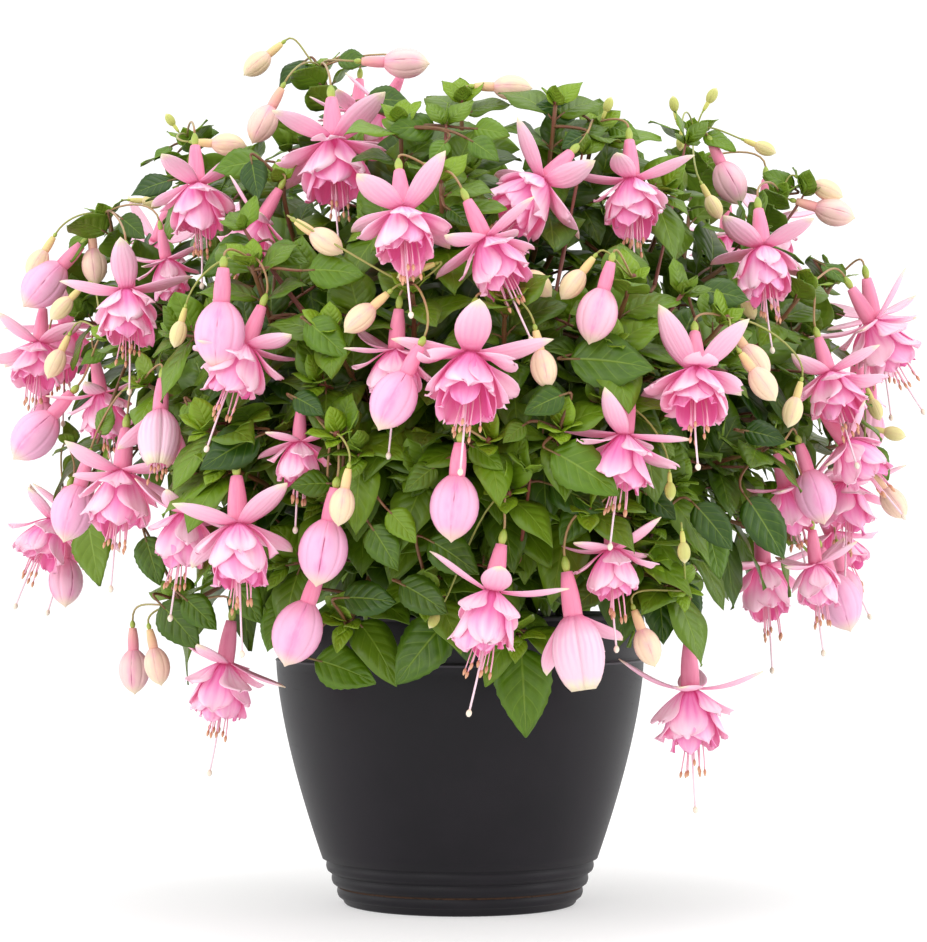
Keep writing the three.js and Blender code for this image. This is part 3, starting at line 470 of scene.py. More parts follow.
FRONT_LEAVES = [FrontLeaf(*leaf) for leaf in (
    ((87, 514), (100, 587), 30, 0.5), ((266, 433), (200, 470)), ((157, 600), (200, 649), 26, 0.15),
    ((181, 595), (217, 630), 34), ((141, 595), (108, 599), 40, 0.2), ((141, 602), (114, 629), 36, 0.3),
    ((185, 400), (197, 430), 14, 0.4), ((98, 436), (60, 411), 30, 0.5), ((92, 432), (65, 475), 28, 0.4),
    ((99, 438), (112, 405), 34, 0.4), ((144, 532), (160, 586), 40), ((335, 484), (290, 487), 10, 0.2),
    ((283, 602), (268, 652), 22), ((386, 508), (416, 543), 4, 0.35), ((368, 522), (398, 571), 2, 0.1),
    ((423, 537), (479, 575), 10), ((338, 598), (397, 603), 10), ((395, 581), (448, 614), 6, 0.1),
    ((452, 615), (396, 685), 14), ((309, 658), (376, 683), 22), ((520, 638), (526, 738), 14),
    ((439, 464), (405, 492), 8, 0.2), ((545, 448), (618, 495), -2), ((561, 359), (655, 369), 6),
    ((568, 393), (524, 414), -2), ((543, 482), (606, 512), 16), ((608, 400), (664, 436), 20),
    ((527, 423), (503, 443), 2, 0.4), ((467, 443), (503, 470), 10, 0.2), ((691, 501), (732, 551), 16),
    ((743, 493), (784, 560), 16), ((707, 527), (720, 580), 24), ((657, 576), (663, 645), 22),
    ((682, 579), (695, 627), 32), ((870, 442), (888, 481), 30), ((799, 190), (764, 172), 40, 0.2),
    ((684, 128), (654, 131), 50, 0.1), ((701, 132), (737, 150), 72, 0.25), ((683, 142), (662, 178), 50),
    ((587, 132), (562, 148), 30), ((606, 122), (641, 141), 40, 0.1), ((467, 137), (499, 160), 16),
    ((448, 138), (430, 162), 18), ((446, 206), (425, 225), 8), ((446, 206), (470, 226), 8),
    ((696, 290), (750, 300), 20), ((308, 56), (278, 88), 52), ((334, 58), (368, 60), 56),
    ((362, 60), (386, 80), 56, 0.1), ((317, 107), (277, 97), 50), ((362, 98), (409, 101), 48),
    ((250, 155), (258, 200), 44), ((268, 160), (212, 170), 44), ((176, 178), (130, 195), 46),
    ((117, 215), (144, 238), 34, 0.1), ((172, 144), (153, 160), 48), ((178, 150), (166, 168), 48, 0.1),
    ((194, 138), (218, 131), 48), ((108, 350), (80, 365), 36), ((262, 240), (202, 275), 26, 0.1),
    ((302, 270), (364, 275), 16), ((296, 318), (262, 360), 14), ((385, 440), (441, 445), 10),
    ((290, 395), (324, 415), 8), ((606, 582), (572, 610), 12), ((640, 560), (618, 596), 30),
    ((583, 114), (535, 104), 30), ((470, 127), (510, 134), 20, 0.2), ((440, 128), (388, 128), 26),
    ((302, 318), (347, 358), 8), ((262, 250), (308, 262), 30, 0.2), ((590, 500), (560, 545), 20),
    ((640, 490), (676, 520), 24), ((232, 580), (262, 624), 30), ((130, 640), (112, 655), 40, 0.4),
    ((740, 430), (786, 442), 24), ((742, 240), (688, 242), 30), ((820, 262), (850, 285), 34),
    ((84, 230), (70, 262), 40, 0.4),
)]


@dataclass(frozen=True)
class FrontBranch:
    """A bare red-brown branch in the photograph: the pixels of its foot and tip, its inset and radius."""

    foot: Pixel
    tip: Pixel
    inset: float
    radius: float


FRONT_BRANCHES = [
    FrontBranch((571, 428), (684, 292), 14, 2.0),
    FrontBranch((308, 318), (242, 226), 18, 1.6),
    FrontBranch((551, 318), (583, 150), 34, 1.3),
    FrontBranch((655, 285), (687, 140), 50, 1.2),
    FrontBranch((444, 210), (446, 120), 20, 1.4),
    FrontBranch((757, 262), (806, 192), 50, 1.2),
    FrontBranch((519, 560), (531, 470), 10, 1.2),
]


@dataclass(frozen=True)
class Row:
    """A row of twig tips round the back: their height, angles from the front, and shoots."""

    height: float
    angles: tuple[float, ...]
    shoots: tuple[int, ...]


REAR_ROWS = [
    Row(476, (124, 232), (16, 19)),
    Row(392, (100, 152, 206, 262), (16, 17, 18, 19)),
    Row(288, (104, 178, 258), (16, 18, 19)),
]
REAR_TIPS = [Row(205, (134, 160, 226), (16, 17, 19)), Row(500, (178,), (18,))]


@dataclass(frozen=True)
class RearSpray:
    """The flowers that each rear spray carries."""

    inset: float = 12
    kinds: tuple[Kind, ...] = (Kind.BLOOM, Kind.BLOOM, Kind.BUD)
    sizes: tuple[float, ...] = (1.05, 0.96, 0.9)
    sides: tuple[float, ...] = (-26, 24, 2)
    drops: tuple[float, ...] = (34, 50, 78)
    drop_spread: float = 12
    lean_spread: float = 16
    face: float = 8
    face_spread: float = 16


@dataclass(frozen=True)
class Routes:
    """How woody stems and twigs run in the part's source."""

    crown_shoulder: float = 178
    wood_foot: float = 6
    wood_reach: float = 0.4
    wood_rise: float = 34
    wood_climb: float = 0.5
    wood_arrive: float = 0.35
    wood_lift: float = 0.35
    wood_steps: int = 2
    base: float = 2
    joint: float = 0.3
    leave: float = 0.4
    arrive: float = 0.35
    level_at: float = 230
    rise_over: float = 210
    lowest: float = -0.75
    steepest: float = 0.95
    outward: float = 1.2
    hub_length: float = 5.5
    depth_steps: tuple[float, ...] = (0, 8, -8, 16, -14, 24, 32, 40, 50)
    spray_depth: float = 40


class Plant:
    """The plan of the whole plant: woody stems, twigs and where their flowers hang."""

    def __init__(self, canopy: Canopy, routes: Routes, rear: RearSpray) -> None:
        """Lists the twigs and runs each from its woody stem to its tip.

        Args:
            canopy: the surface that tips and flowers reach.
            routes: how stems and twigs run.
            rear: what the rear sprays carry.
        """
        self.canopy = canopy
        self.routes = routes
        self.rear = rear
        self.twigs = [*self.list_front(), *self.list_rear()]
        for key, twig in enumerate(self.twigs):
            twig.key = key
        self.shoots = sorted({twig.shoot for twig in self.twigs})
        self.woods = {shoot: self.run_shoot(shoot) for shoot in self.shoots}

    def list_front(self) -> list[Twig]:
        """Lists the twigs whose tips the photograph shows.

        Returns:
            The twigs, each with its flowers and the places that these may have.
        """
        twigs = []
        for spray in [*FRONT_SPRAYS, *FRONT_TIPS]:
            tip = self.canopy.sight_point(spray.hub, spray.inset)
            farthest = -tip[1] - self.routes.spray_depth
            for item in spray.items:
                item.places = [
                    self.canopy.sight_point(item.at, item.inset + step, farthest - step)
                    for step in self.routes.depth_steps
                ]
            twigs.append(Twig(spray.shoot, tip, 0, spray.name, list(spray.items)))
        return twigs

    def list_rear(self) -> list[Twig]:
        """Lists the twigs round the back.

        Returns:
            The twigs, those with flowers first.
        """
        twigs = []
        for r, row in enumerate([*REAR_ROWS, *REAR_TIPS]):
            for k, (shoot, angle) in enumerate(zip(row.shoots, row.angles)):
                tip = self.canopy.rim_point(angle, row.height, self.rear.inset)
                if row in REAR_ROWS:
                    items = [self.rear_item(row, angle, (r, k), i) for i in range(len(self.rear.kinds))]
                    twigs.append(Twig(shoot, tip, angle, f"rear_{r + 1}_{k + 1}", items))
                else:
                    twigs.append(Twig(shoot, tip, angle))
        return twigs

    def rear_item(self, row: Row, angle: float, keys: Keys, i: int) -> Item:
        """Lists a flower or bud of a rear spray.

        Args:
            row: the row of tips.
            angle: the tip's angle from the front.
            keys: the row's number and the tip's number in it.
            i: the flower's number.

        Returns:
            The flower or bud.
        """
        rear = self.rear
        height = row.height - rear.drops[i] - spread(rear.drop_spread, 1, i, *keys)
        side = angle + math.degrees(rear.sides[i] / self.canopy.reach(height))
        return Item(
            rear.kinds[i],
            (0, 0),
            spread(rear.lean_spread, 3, i, *keys),
            rear.sizes[i],
            turn=math.floor(90 * draw(2, i, *keys)),
            face=rear.face + spread(rear.face_spread, 4, i, *keys),
            is_plain=True,
            places=[self.canopy.rim_point(side, height, step) for step in self.routes.depth_steps],
        )

    def run_shoot(self, shoot: int) -> Bend:
        """Runs a shoot's woody stem, and its twigs from the stem's end.

        Args:
            shoot: the shoot's number.

        Returns:
            The woody stem's curve.
        """
        routes = self.routes
        own = [twig for twig in self.twigs if twig.shoot == shoot]
        middle = np.mean([twig.tip for twig in own], axis=0)
        start = outward_at(middle) * routes.wood_foot + UP * routes.crown_shoulder
        end = start + (middle - start) * routes.wood_reach + UP * routes.wood_rise
        reach = float(np.linalg.norm(end - start))
        arrival = unit(unit(middle - start) + UP * routes.wood_lift) * routes.wood_arrive * reach
        wood = Bend(start, start + UP * routes.wood_climb * reach, end - arrival, end)
        last = wood.at(np.array([1 - 1 / routes.wood_steps, 1.0]))
        heading = unit(last[1] - last[0])
        start = last[1] + heading * routes.joint
        for i, twig in enumerate(own):
            twig.route = self.twig_route(start + heading * routes.base, heading, twig.tip)
            twig.start = start if i == 0 else None
            twig.heading = twig.route.tangent()
            twig.hub = twig.tip + twig.heading * (routes.joint + routes.hub_length / 2)
        return wood

    def twig_route(self, start: np.ndarray, heading: np.ndarray, tip: np.ndarray) -> Bend:
        """Finds a twig's way to its tip, upright at the top and arching over below.

        Args:
            start: where it starts.
            heading: its direction there.
            tip: where it ends.

        Returns:
            Its curve.
        """
        routes = self.routes
        rise = min(routes.steepest, max(routes.lowest, (tip[2] - routes.level_at) / routes.rise_over))
        arrival = unit(outward_at(tip) * (routes.outward - abs(rise)) + UP * rise)
        reach = float(np.linalg.norm(tip - start))
        leaving = heading * routes.leave * reach
        return Bend(start, start + leaving, tip - arrival * routes.arrive * reach, tip)


def ring_faces(rows: int, sides: int) -> list[list[int]]:
    """Returns the faces between rows of closed rings."""
    corners = [(i * sides + j, i * sides + (j + 1) % sides) for i in range(rows - 1) for j in range(sides)]
    return [[a, b, b + sides, a + sides] for a, b in corners]


def capped_faces(rows: int, sides: int) -> list[list[int]]:
    """Returns the faces between rows of closed rings, and a cap at each end."""
    caps = [list(reversed(range(sides))), list(range((rows - 1) * sides, rows * sides))]
    return ring_faces(rows, sides) + caps


class MeshWork:
    """Gathers grids, tubes and sheets into one closed-sided mesh with a material for each face."""

    FIELDS = ("along", "across", "tone", "age", "under")

    def __init__(self) -> None:
        """Starts with no points."""
        self.points: list[np.ndarray] = []
        self.fields: dict[str, list[np.ndarray]] = {name: [] for name in self.FIELDS}
        self.faces: list[list[int]] = []
        self.finishes: list[Finish] = []
        self.face_finishes: list[np.ndarray] = []
        self.count = 0

    def add(self, points: np.ndarray, faces: list[list[int]], finish: Finish, **fields: Any) -> None:
        """Adds points and faces.

        Args:
            points: rows of x, y and z.
            faces: vertex numbers, counted from this call's first point.
            finish: the faces' finish.
            fields: values of the named point fields; the others are 0.
        """
        if finish not in self.finishes:
            self.finishes.append(finish)
        points = points.reshape(-1, 3)
        self.faces.extend([index + self.count for index in face] for face in faces)
        self.face_finishes.append(np.full(len(faces), self.finishes.index(finish)))
        self.points.append(points)
        for name in self.FIELDS:
            values = np.asarray(fields.get(name, 0.0), float).ravel()
            self.fields[name].append(np.broadcast_to(values, len(points)))
        self.count += len(points)

    def tube(
        self, path: np.ndarray, radii: np.ndarray | float, sides: int, finish: Finish, **fields: Any
    ) -> None:
        """Adds a capped tube round a path.

        Args:
            path: the points on its middle line.
            radii: its radius at each point.
            sides: how many sides it has.
            finish: its finish.
            fields: point fields; along and across are worked out here.
        """
        rows = len(path)
        tangents = unit(np.gradient(path, axis=0))
        bow = np.cross(path[rows // 2] - path[0], path[-1] - path[0])
        if np.linalg.norm(bow) < 1e-3:
            bow = np.cross(tangents[0], UP if abs(tangents[0][2]) < STEEP else RIGHT)
        first = across_to(np.broadcast_to(unit(bow), path.shape), tangents)
        angles = 2 * np.pi * np.arange(sides) / sides
        ring = turned(first[:, None], np.cross(tangents, first)[:, None], angles[:, None])
        points = path[:, None] + ring * np.broadcast_to(np.asarray(radii, float), rows)[:, None, None]
        fields["along"] = np.repeat(np.linspace(0, 1, rows), sides)
        fields["across"] = np.tile(angles / (2 * np.pi), rows)
        self.add(points, capped_faces(rows, sides), finish, **fields)

    def sheet(self, grid: np.ndarray, thickness: float, finish: Finish, **fields: Any) -> None:
        """Adds a thin closed sheet.

        Args:
            grid: points in rows along and columns across.
            thickness: from one face to the other.
            finish: its finish.
            fields: point fields on the grid, or one value; under is 1 on the back.
        """
        rows, columns = grid.shape[:2]
        far = rows * columns
        normal = unit(np.cross(np.gradient(grid, axis=0), np.gradient(grid, axis=1)))
        points = np.stack([grid + normal * thickness / 2, grid - normal * thickness / 2])
        cells = [i * columns + j for i in range(rows - 1) for j in range(columns - 1)]
        faces = [[a, a + columns, a + columns + 1, a + 1] for a in cells]
        faces += [[a + far, a + far + 1, a + far + columns + 1, a + far + columns] for a in cells]
        rim = [*range(columns), *range(2 * columns - 1, far, columns)]
        rim += [*range(far - 2, far - columns - 1, -1), *range(far - 2 * columns, 0, -columns)]
        faces += [[a, b, b + far, a + far] for a, b in zip(rim, [*rim[1:], rim[0]])]
        for name, value in fields.items():
            fields[name] = np.tile(np.broadcast_to(value, (rows, columns)).ravel(), 2)
        self.add(points, faces, finish, under=np.repeat([0.0, 1.0], far), **fields)

    def lathe(self, profile: np.ndarray, sides: int, finish: Finish) -> None:
        """Adds a turned body.

        Args:
            profile: rows of radius and height, the first and last of them on the axis.
            sides: how many sides it has.
            finish: its finish.
        """
        angles = 2 * np.pi * np.arange(sides) / sides
        radius, height = profile[1:-1, :1], profile[1:-1, 1:]
        ring = np.stack([radius * np.cos(angles), radius * np.sin(angles), height + 0 * angles], axis=-1)
        points = np.vstack([ring.reshape(-1, 3), UP * profile[0][1], UP * profile[-1][1]])
        low = len(ring) * sides
        faces = ring_faces(len(ring), sides)
        for j in range(sides):
            follower = (j + 1) % sides
            faces.append([low, follower, j])
            faces.append([low + 1, low - sides + j, low - sides + follower])
        self.add(points, faces, finish)

    def build(self, name: str, materials: dict[Finish, bpy.types.Material]) -> bpy.types.Object:
        """Makes the object.

        Args:
            name: the object's name.
            materials: the material of each finish.

        Returns:
            The object, linked to the scene.
        """
        mesh = bpy.data.meshes.new(name)
        mesh.from_pydata((np.concatenate(self.points) * MM).tolist(), [], self.faces)
        for field_name, values in self.fields.items():
            attribute = mesh.attributes.new(field_name, "FLOAT", "POINT")
            attribute.data.foreach_set("value", np.concatenate(values).astype(np.float32))
        for finish in self.finishes:
            mesh.materials.append(materials[finish])
        mesh.polygons.foreach_set("material_index", np.concatenate(self.face_finishes).astype(np.int32))
        mesh.polygons.foreach_set("use_smooth", np.ones(len(self.faces), bool))
        mesh.update()
        piece = bpy.data.objects.new(name, mesh)
        bpy.context.collection.objects.link(piece)
        return piece


class NodePlaces:
    """Finds points of the part's source again among a frame node's vertices."""

    def __init__(self, nodes: dict[str, bpy.types.Object]) -> None:
        """Keeps the frame's nodes and their search trees."""
        self.nodes = nodes
        self.trees: dict[str, kdtree.KDTree] = {}

    def has(self, node: str, point: np.ndarray) -> bool:
        """Says whether a node has a vertex at a point.

        Args:
            node: the node's name.
            point: the point, in millimetres.

        Returns:
            Whether one of its vertices lies there.
        """
        if node not in self.trees:
            vertices = self.nodes[node].data.vertices
            tree = kdtree.KDTree(len(vertices))
            for i, vertex in enumerate(vertices):
                tree.insert(vertex.co, i)
            tree.balance()
            self.trees[node] = tree
        return self.trees[node].find(Vector(point * MM))[2] < MATCH * MM


@dataclass(frozen=True)
class LeafPlace:
    """Where one leaf grows: its root, its ways along and across, its length and its age."""

    root: np.ndarray
    along: np.ndarray
    length: float
    young: float
    tone: float
    droop: float = 0.22
    face_out: float = 0.55
    face_up: float = 0.85
    face_front: float = 0.0

    def axes(self) -> tuple[np.ndarray, np.ndarray]:
        """Works out how the leaf lies.

        Returns:
            The ways across the leaf and out of its upper face.
        """
        face = outward_at(self.root) * self.face_out + UP * self.face_up + FRONT * self.face_front
        across = unit(np.cross(face, self.along))
        return across, np.cross(self.along, across)

    def midrib(self, *shares: float) -> np.ndarray:
        """Finds points on the midrib, which is arched and then droops to the tip.

        Args:
            shares: how far along the leaf each point lies, from 0 to 1.

        Returns:
            A row for each point.
        """
        share = np.array(shares)[:, None]
        rise = self.axes()[1] * self.length * self.droop * (share - share**2)
        return self.root + self.along * self.length * share + rise - UP * self.length * self.droop * share**2


@dataclass(frozen=True)
class LeafShape:
    """The form of a leaf blade as shares of its length."""

    petiole: float = 0.11
    petiole_from: float = -0.02
    petiole_past: float = 0.1
    half_width: float = 0.325
    base_power: float = 0.58
    tip_power: float = 0.98
    fullest: float = 2.83
    narrowest: float = 0.004
    fold: float = 0.16
    curl: float = 0.12
    wave: float = 0.035
    waves: float = 9
    teeth: int = 8
    tooth_depth: float = 0.05
    edge_power: int = 6
    thickness: float = 0.35
    petiole_radius: float = 0.75
    stalked_rows: int = 5

    def grow(self, work: MeshWork, place: LeafPlace, rows: int, columns: int) -> None:
        """Adds a leaf with its petiole.

        Args:
            work: the mesh that gets it.
            place: where it grows.
            rows: points along the blade.
            columns: points across the blade.
        """
        across, upper = place.axes()
        u = np.linspace(0, 1, rows)
        t = np.linspace(-1, 1, columns)
        width = self.fullest * np.maximum(u, self.narrowest) ** self.base_power
        width *= np.maximum(1 - u, self.narrowest) ** self.tip_power * self.half_width * place.length
        tooth = 1 - self.tooth_depth * ((u * self.teeth * 2) % 2 > 1) if rows > self.teeth * 2 else 1 + 0 * u
        flat = np.abs(t)
        edge = flat**self.edge_power
        lateral = width[:, None] * t * (1 - edge + edge * tooth[:, None])
        wave = self.wave * place.length * np.sin(self.waves * u + 6.28 * place.tone)
        lift = width[:, None] * (self.fold * flat - self.curl * flat**3) + wave[:, None] * flat**2 * t
        midrib = place.midrib(*(self.petiole + (1 - self.petiole) * u))
        grid = midrib[:, None] + across * lateral[..., None] + upper * lift[..., None]
        looks = {"tone": place.tone, "age": place.young}
        work.sheet(grid, self.thickness, Finish.LEAF, along=u[:, None], across=t, **looks)
        if rows > self.stalked_rows:
            stem = place.midrib(*np.linspace(self.petiole_from, self.petiole + self.petiole_past, 3))
            work.tube(stem, self.petiole_radius, 4, Finish.TWIG, **looks)


@dataclass(frozen=True)
class LeafRules:
    """Where the part's source lets leaves grow on a twig, and the ways it tries for each."""

    twig_radius: float = 2.3
    twig_tip_radius: float = 1.7
    twig_sides: int = 3
    bend_over: float = 40
    first_at: float = 14
    spacing: float = 56
    end_gap: float = 12
    node_height: float = 3.5
    length: float = 60
    length_spread: float = 11
    youngest: float = 0.62
    growth: float = 0.3
    youth: float = 0.9
    swings: tuple[float, ...] = (0, 25, -25, 50, -50)
    pitches: tuple[float, ...] = (0.5, 1, 1.8)

    def stops(self, twig: Twig) -> tuple[list[float], list[float]]:
        """Works out where a twig of the solids has its rings.

        Args:
            twig: the twig.

        Returns:
            The distances of its leaf nodes from the tip down, and all distances where it bends.
        """
        length = twig.route.length
        count = max(1, math.floor((length - self.first_at) / self.spacing))
        nodes = [length - self.end_gap - k * self.spacing for k in range(count)]
        stops = [0.0]
        for node in reversed(nodes):
            stops += [node, node + self.node_height]
        stops.append(length)
        if stops[1] > self.bend_over:
            stops.insert(1, stops[1] / 2)
        return nodes, stops

    def rings(self, twig: Twig, stops: list[float]) -> list[np.ndarray]:
        """Finds the rings of a twig in the solids.

        Args:
            twig: the twig.
            stops: the distances where it bends.

        Returns:
            The corners of each ring, from its woody stem to its tip.
        """
        length = twig.route.length
        points = list(twig.route.along(np.minimum(np.array(stops), length)))
        radii = [self.twig_radius + (self.twig_tip_radius - self.twig_radius) * s / length for s in stops]
        if twig.start is not None:
            points.insert(0, twig.start)
            radii.insert(0, self.twig_radius)
        first = np.cross(twig.heading, np.array([math.sin(twig.key), math.cos(twig.key), 0.1]))
        angles = 2 * np.pi * np.arange(self.twig_sides)[:, None] / self.twig_sides
        rings = []
        last = len(points) - 1
        for i in reversed(range(len(points))):
            along = unit(points[min(i + 1, last)] - points[max(i - 1, 0)])
            first = across_to(first, along)
            rings.insert(0, points[i] + radii[i] * turned(first, np.cross(along, first), angles))
        return rings

    def places(self, twig: Twig, has: Callable[[np.ndarray], bool]) -> list[LeafPlace]:
        """Finds the leaves of a twig that the solids have.

        Args:
            twig: the twig.
            has: says whether the twig's node has a vertex at a point.

        Returns:
            Their places.
        """
        nodes, stops = self.stops(twig)
        rings = self.rings(twig, stops)
        rings = rings[len(rings) - len(stops) :]
        places = []
        for i, stop in enumerate(stops[:-1]):
            if stop not in nodes:
                continue
            node = nodes.index(stop)
            for j in range(self.twig_sides):
                if (j + node) % self.twig_sides < self.twig_sides - 1:
                    follower = (j + 1) % self.twig_sides
                    quad = [rings[i][j], rings[i][follower], rings[i + 1][follower], rings[i + 1][j]]
                    places.append(self.find_leaf(quad, (twig.key, node, j), has))
        return [place for place in places if place]

    def find_leaf(
        self, quad: list[np.ndarray], keys: tuple[int, int, int], has: Callable[[np.ndarray], bool]
    ) -> LeafPlace | None:
        """Tries each way that a leaf on a face of its twig may point.

        Args:
            quad: the corners of the face.
            keys: the numbers of the twig, of the leaf's node from the tip, and of the face.
            has: says whether the solids have a leaf's tip at a point.

        Returns:
            The place of the leaf that is there, or nothing.
        """
        forward = unit(quad[3] - quad[0])
        outward = unit(np.cross(quad[1] - quad[0], forward))
        sideways = np.cross(forward, outward)
        age = min(1.0, self.youngest + self.growth * keys[1])
        length = (self.length + spread(self.length_spread, *keys)) * age
        for swing in self.swings:
            for pitch in self.pitches:
                along = unit(turned(outward, sideways, math.radians(swing)) + forward * pitch)
                young = (1 - age) * self.youth
                place = LeafPlace(np.mean(quad, axis=0), along, length, young, draw(*keys, 7))
                if has(place.midrib(1.0)[0]):
                    return place
        return None


@dataclass
class Crowd:
    """What already fills the canopy: flowers as balls, and the middles and roots of leaves."""

    canopy: Canopy
    mouth_radius: float = 102
    pot_radius: float = 124
    pot_height: float = 186
    compost_height: float = 169
    lowest: float = 120
    balls: list[np.ndarray] = field(default_factory=list)
    radii: list[float] = field(default_factory=list)
    leaves: list[np.ndarray] = field(default_factory=list)
    roots: list[np.ndarray] = field(default_factory=list)

    def add_ball(self, middle: np.ndarray, radius: float) -> None:
        """Takes a round part of a flower in."""
        self.balls.append(middle)
        self.radii.append(radius)

    def add_leaf(self, place: LeafPlace) -> None:
        """Takes a leaf in."""
        self.leaves.append(place.midrib(0.5)[0])
        self.roots.append(place.root)

    def is_inside(self, points: np.ndarray, margin: float) -> bool:
        """Says whether points lie in the canopy and clear of the pot.

        Args:
            points: the points.
            margin: how far inside the canopy's surface they have to lie.

        Returns:
            Whether all of them do.
        """
        for point in points:
            flat = math.hypot(*point[:2])
            if flat > self.canopy.reach(point[2]) - margin or point[2] < self.lowest:
                return False
            is_in_mouth = flat <= self.mouth_radius and point[2] >= self.compost_height
            if flat < self.pot_radius and point[2] < self.pot_height and not is_in_mouth:
                return False
        return True

    def is_clear(self, points: np.ndarray, margin: float) -> bool:
        """Says whether points keep a margin from every flower."""
        gaps = np.linalg.norm(np.array(self.balls)[:, None] - points, axis=2)
        return bool(np.all(gaps > np.array(self.radii)[:, None] + margin))

    def room(self, point: np.ndarray, around: list[np.ndarray]) -> float:
        """Returns how far the nearest of some points is from a point."""
        return float(np.min(np.linalg.norm(np.array(around) - point, axis=1)))


@dataclass(frozen=True)
class FillRules:
    """How the finer foliage between the solids' leaves grows."""

    twig_radius: float = 2.0
    twig_taper: float = 0.75
    twig_knots: float = 0.18
    twig_bend: float = 9
    pair_spacing: float = 17
    first_pair: float = 10
    pair_spread: float = 25
    pair_ways: tuple[tuple[float, float, float], ...] = (
        (0.5, 0.1, 1), (1.1, 0, 0.85), (0.2, -0.3, 0.8), (0.8, 0.5, 0.7)
    )
    longest: float = 44
    shortest: float = 24
    length_spread: float = 8
    young_over: float = 60
    young_pair: float = 0.36
    young_size: float = 0.45
    keep_off: float = 7
    margin: float = 2
    flower_gap: float = 1.5
    front_steps: tuple[float, ...] = (0, 7, -7, 14, 22, 32, 44)
    front_lean: float = 4
    front_droop: float = 0.1
    front_face: tuple[float, float, float] = (0.5, 0.5, 0.9)
    stem_radii: tuple[float, float] = (1.1, 0.75)
    longest_stem: float = 85
    branch_inset: float = 30
    branch_taper: float = 0.6
    branch_knots: float = 0.15
    stem_starts: int = 40
    tuft_leaves: int = 6
    tuft_turn_spread: float = 20
    tuft_pitch: float = 0.9
    tuft_opening: float = 0.5
    tuft_rise: float = 0.3
    tuft_shrink: float = 0.09
    tuft_spread: float = 3
    tuft_sunk: float = 3
    tuft_droop: float = 0.12
    tuft_length: float = 22
    tuft_young: float = 0.8
    inner_young: float = 0.4
    wood_twigs: int = 5
    wood_twig_length: float = 46
    wood_twig_rises: tuple[float, float] = (4, 3)
    wood_twig_turn: float = 137.5
    wood_radii: tuple[float, float] = (3.2, 2.2)
    wood_knots: float = 0.25
    crown_foot: float = 139.5
    crown_height: float = 46
    crown_taper: float = 0.75
    side_twig_spacing: float = 26
    side_twig_from: float = 12
    side_twig_end: float = 20
    side_twig_length: float = 52
    side_twig_spread: float = 18
    side_twig_rises: tuple[float, float] = (5, 2)
    side_twig_room: float = 15
    side_twig_gain: float = 1.5
    side_twig_ways: int = 12
    side_twig_outward: float = 0.25
    side_twig_lift: float = 0.75
    side_twig_sink: float = 0.1
    side_twig_margin: float = 12
    side_twig_gap: float = 6
    side_twig_radius: float = 0.9
    inner_depth: float = 58
    solid_grid: tuple[int, int] = (17, 5)
    front_grid: tuple[int, int] = (18, 7)
    tuft_grid: tuple[int, int] = (7, 5)
    grid: tuple[int, int] = (8, 5)
    inner_grid: tuple[int, int] = (5, 3)


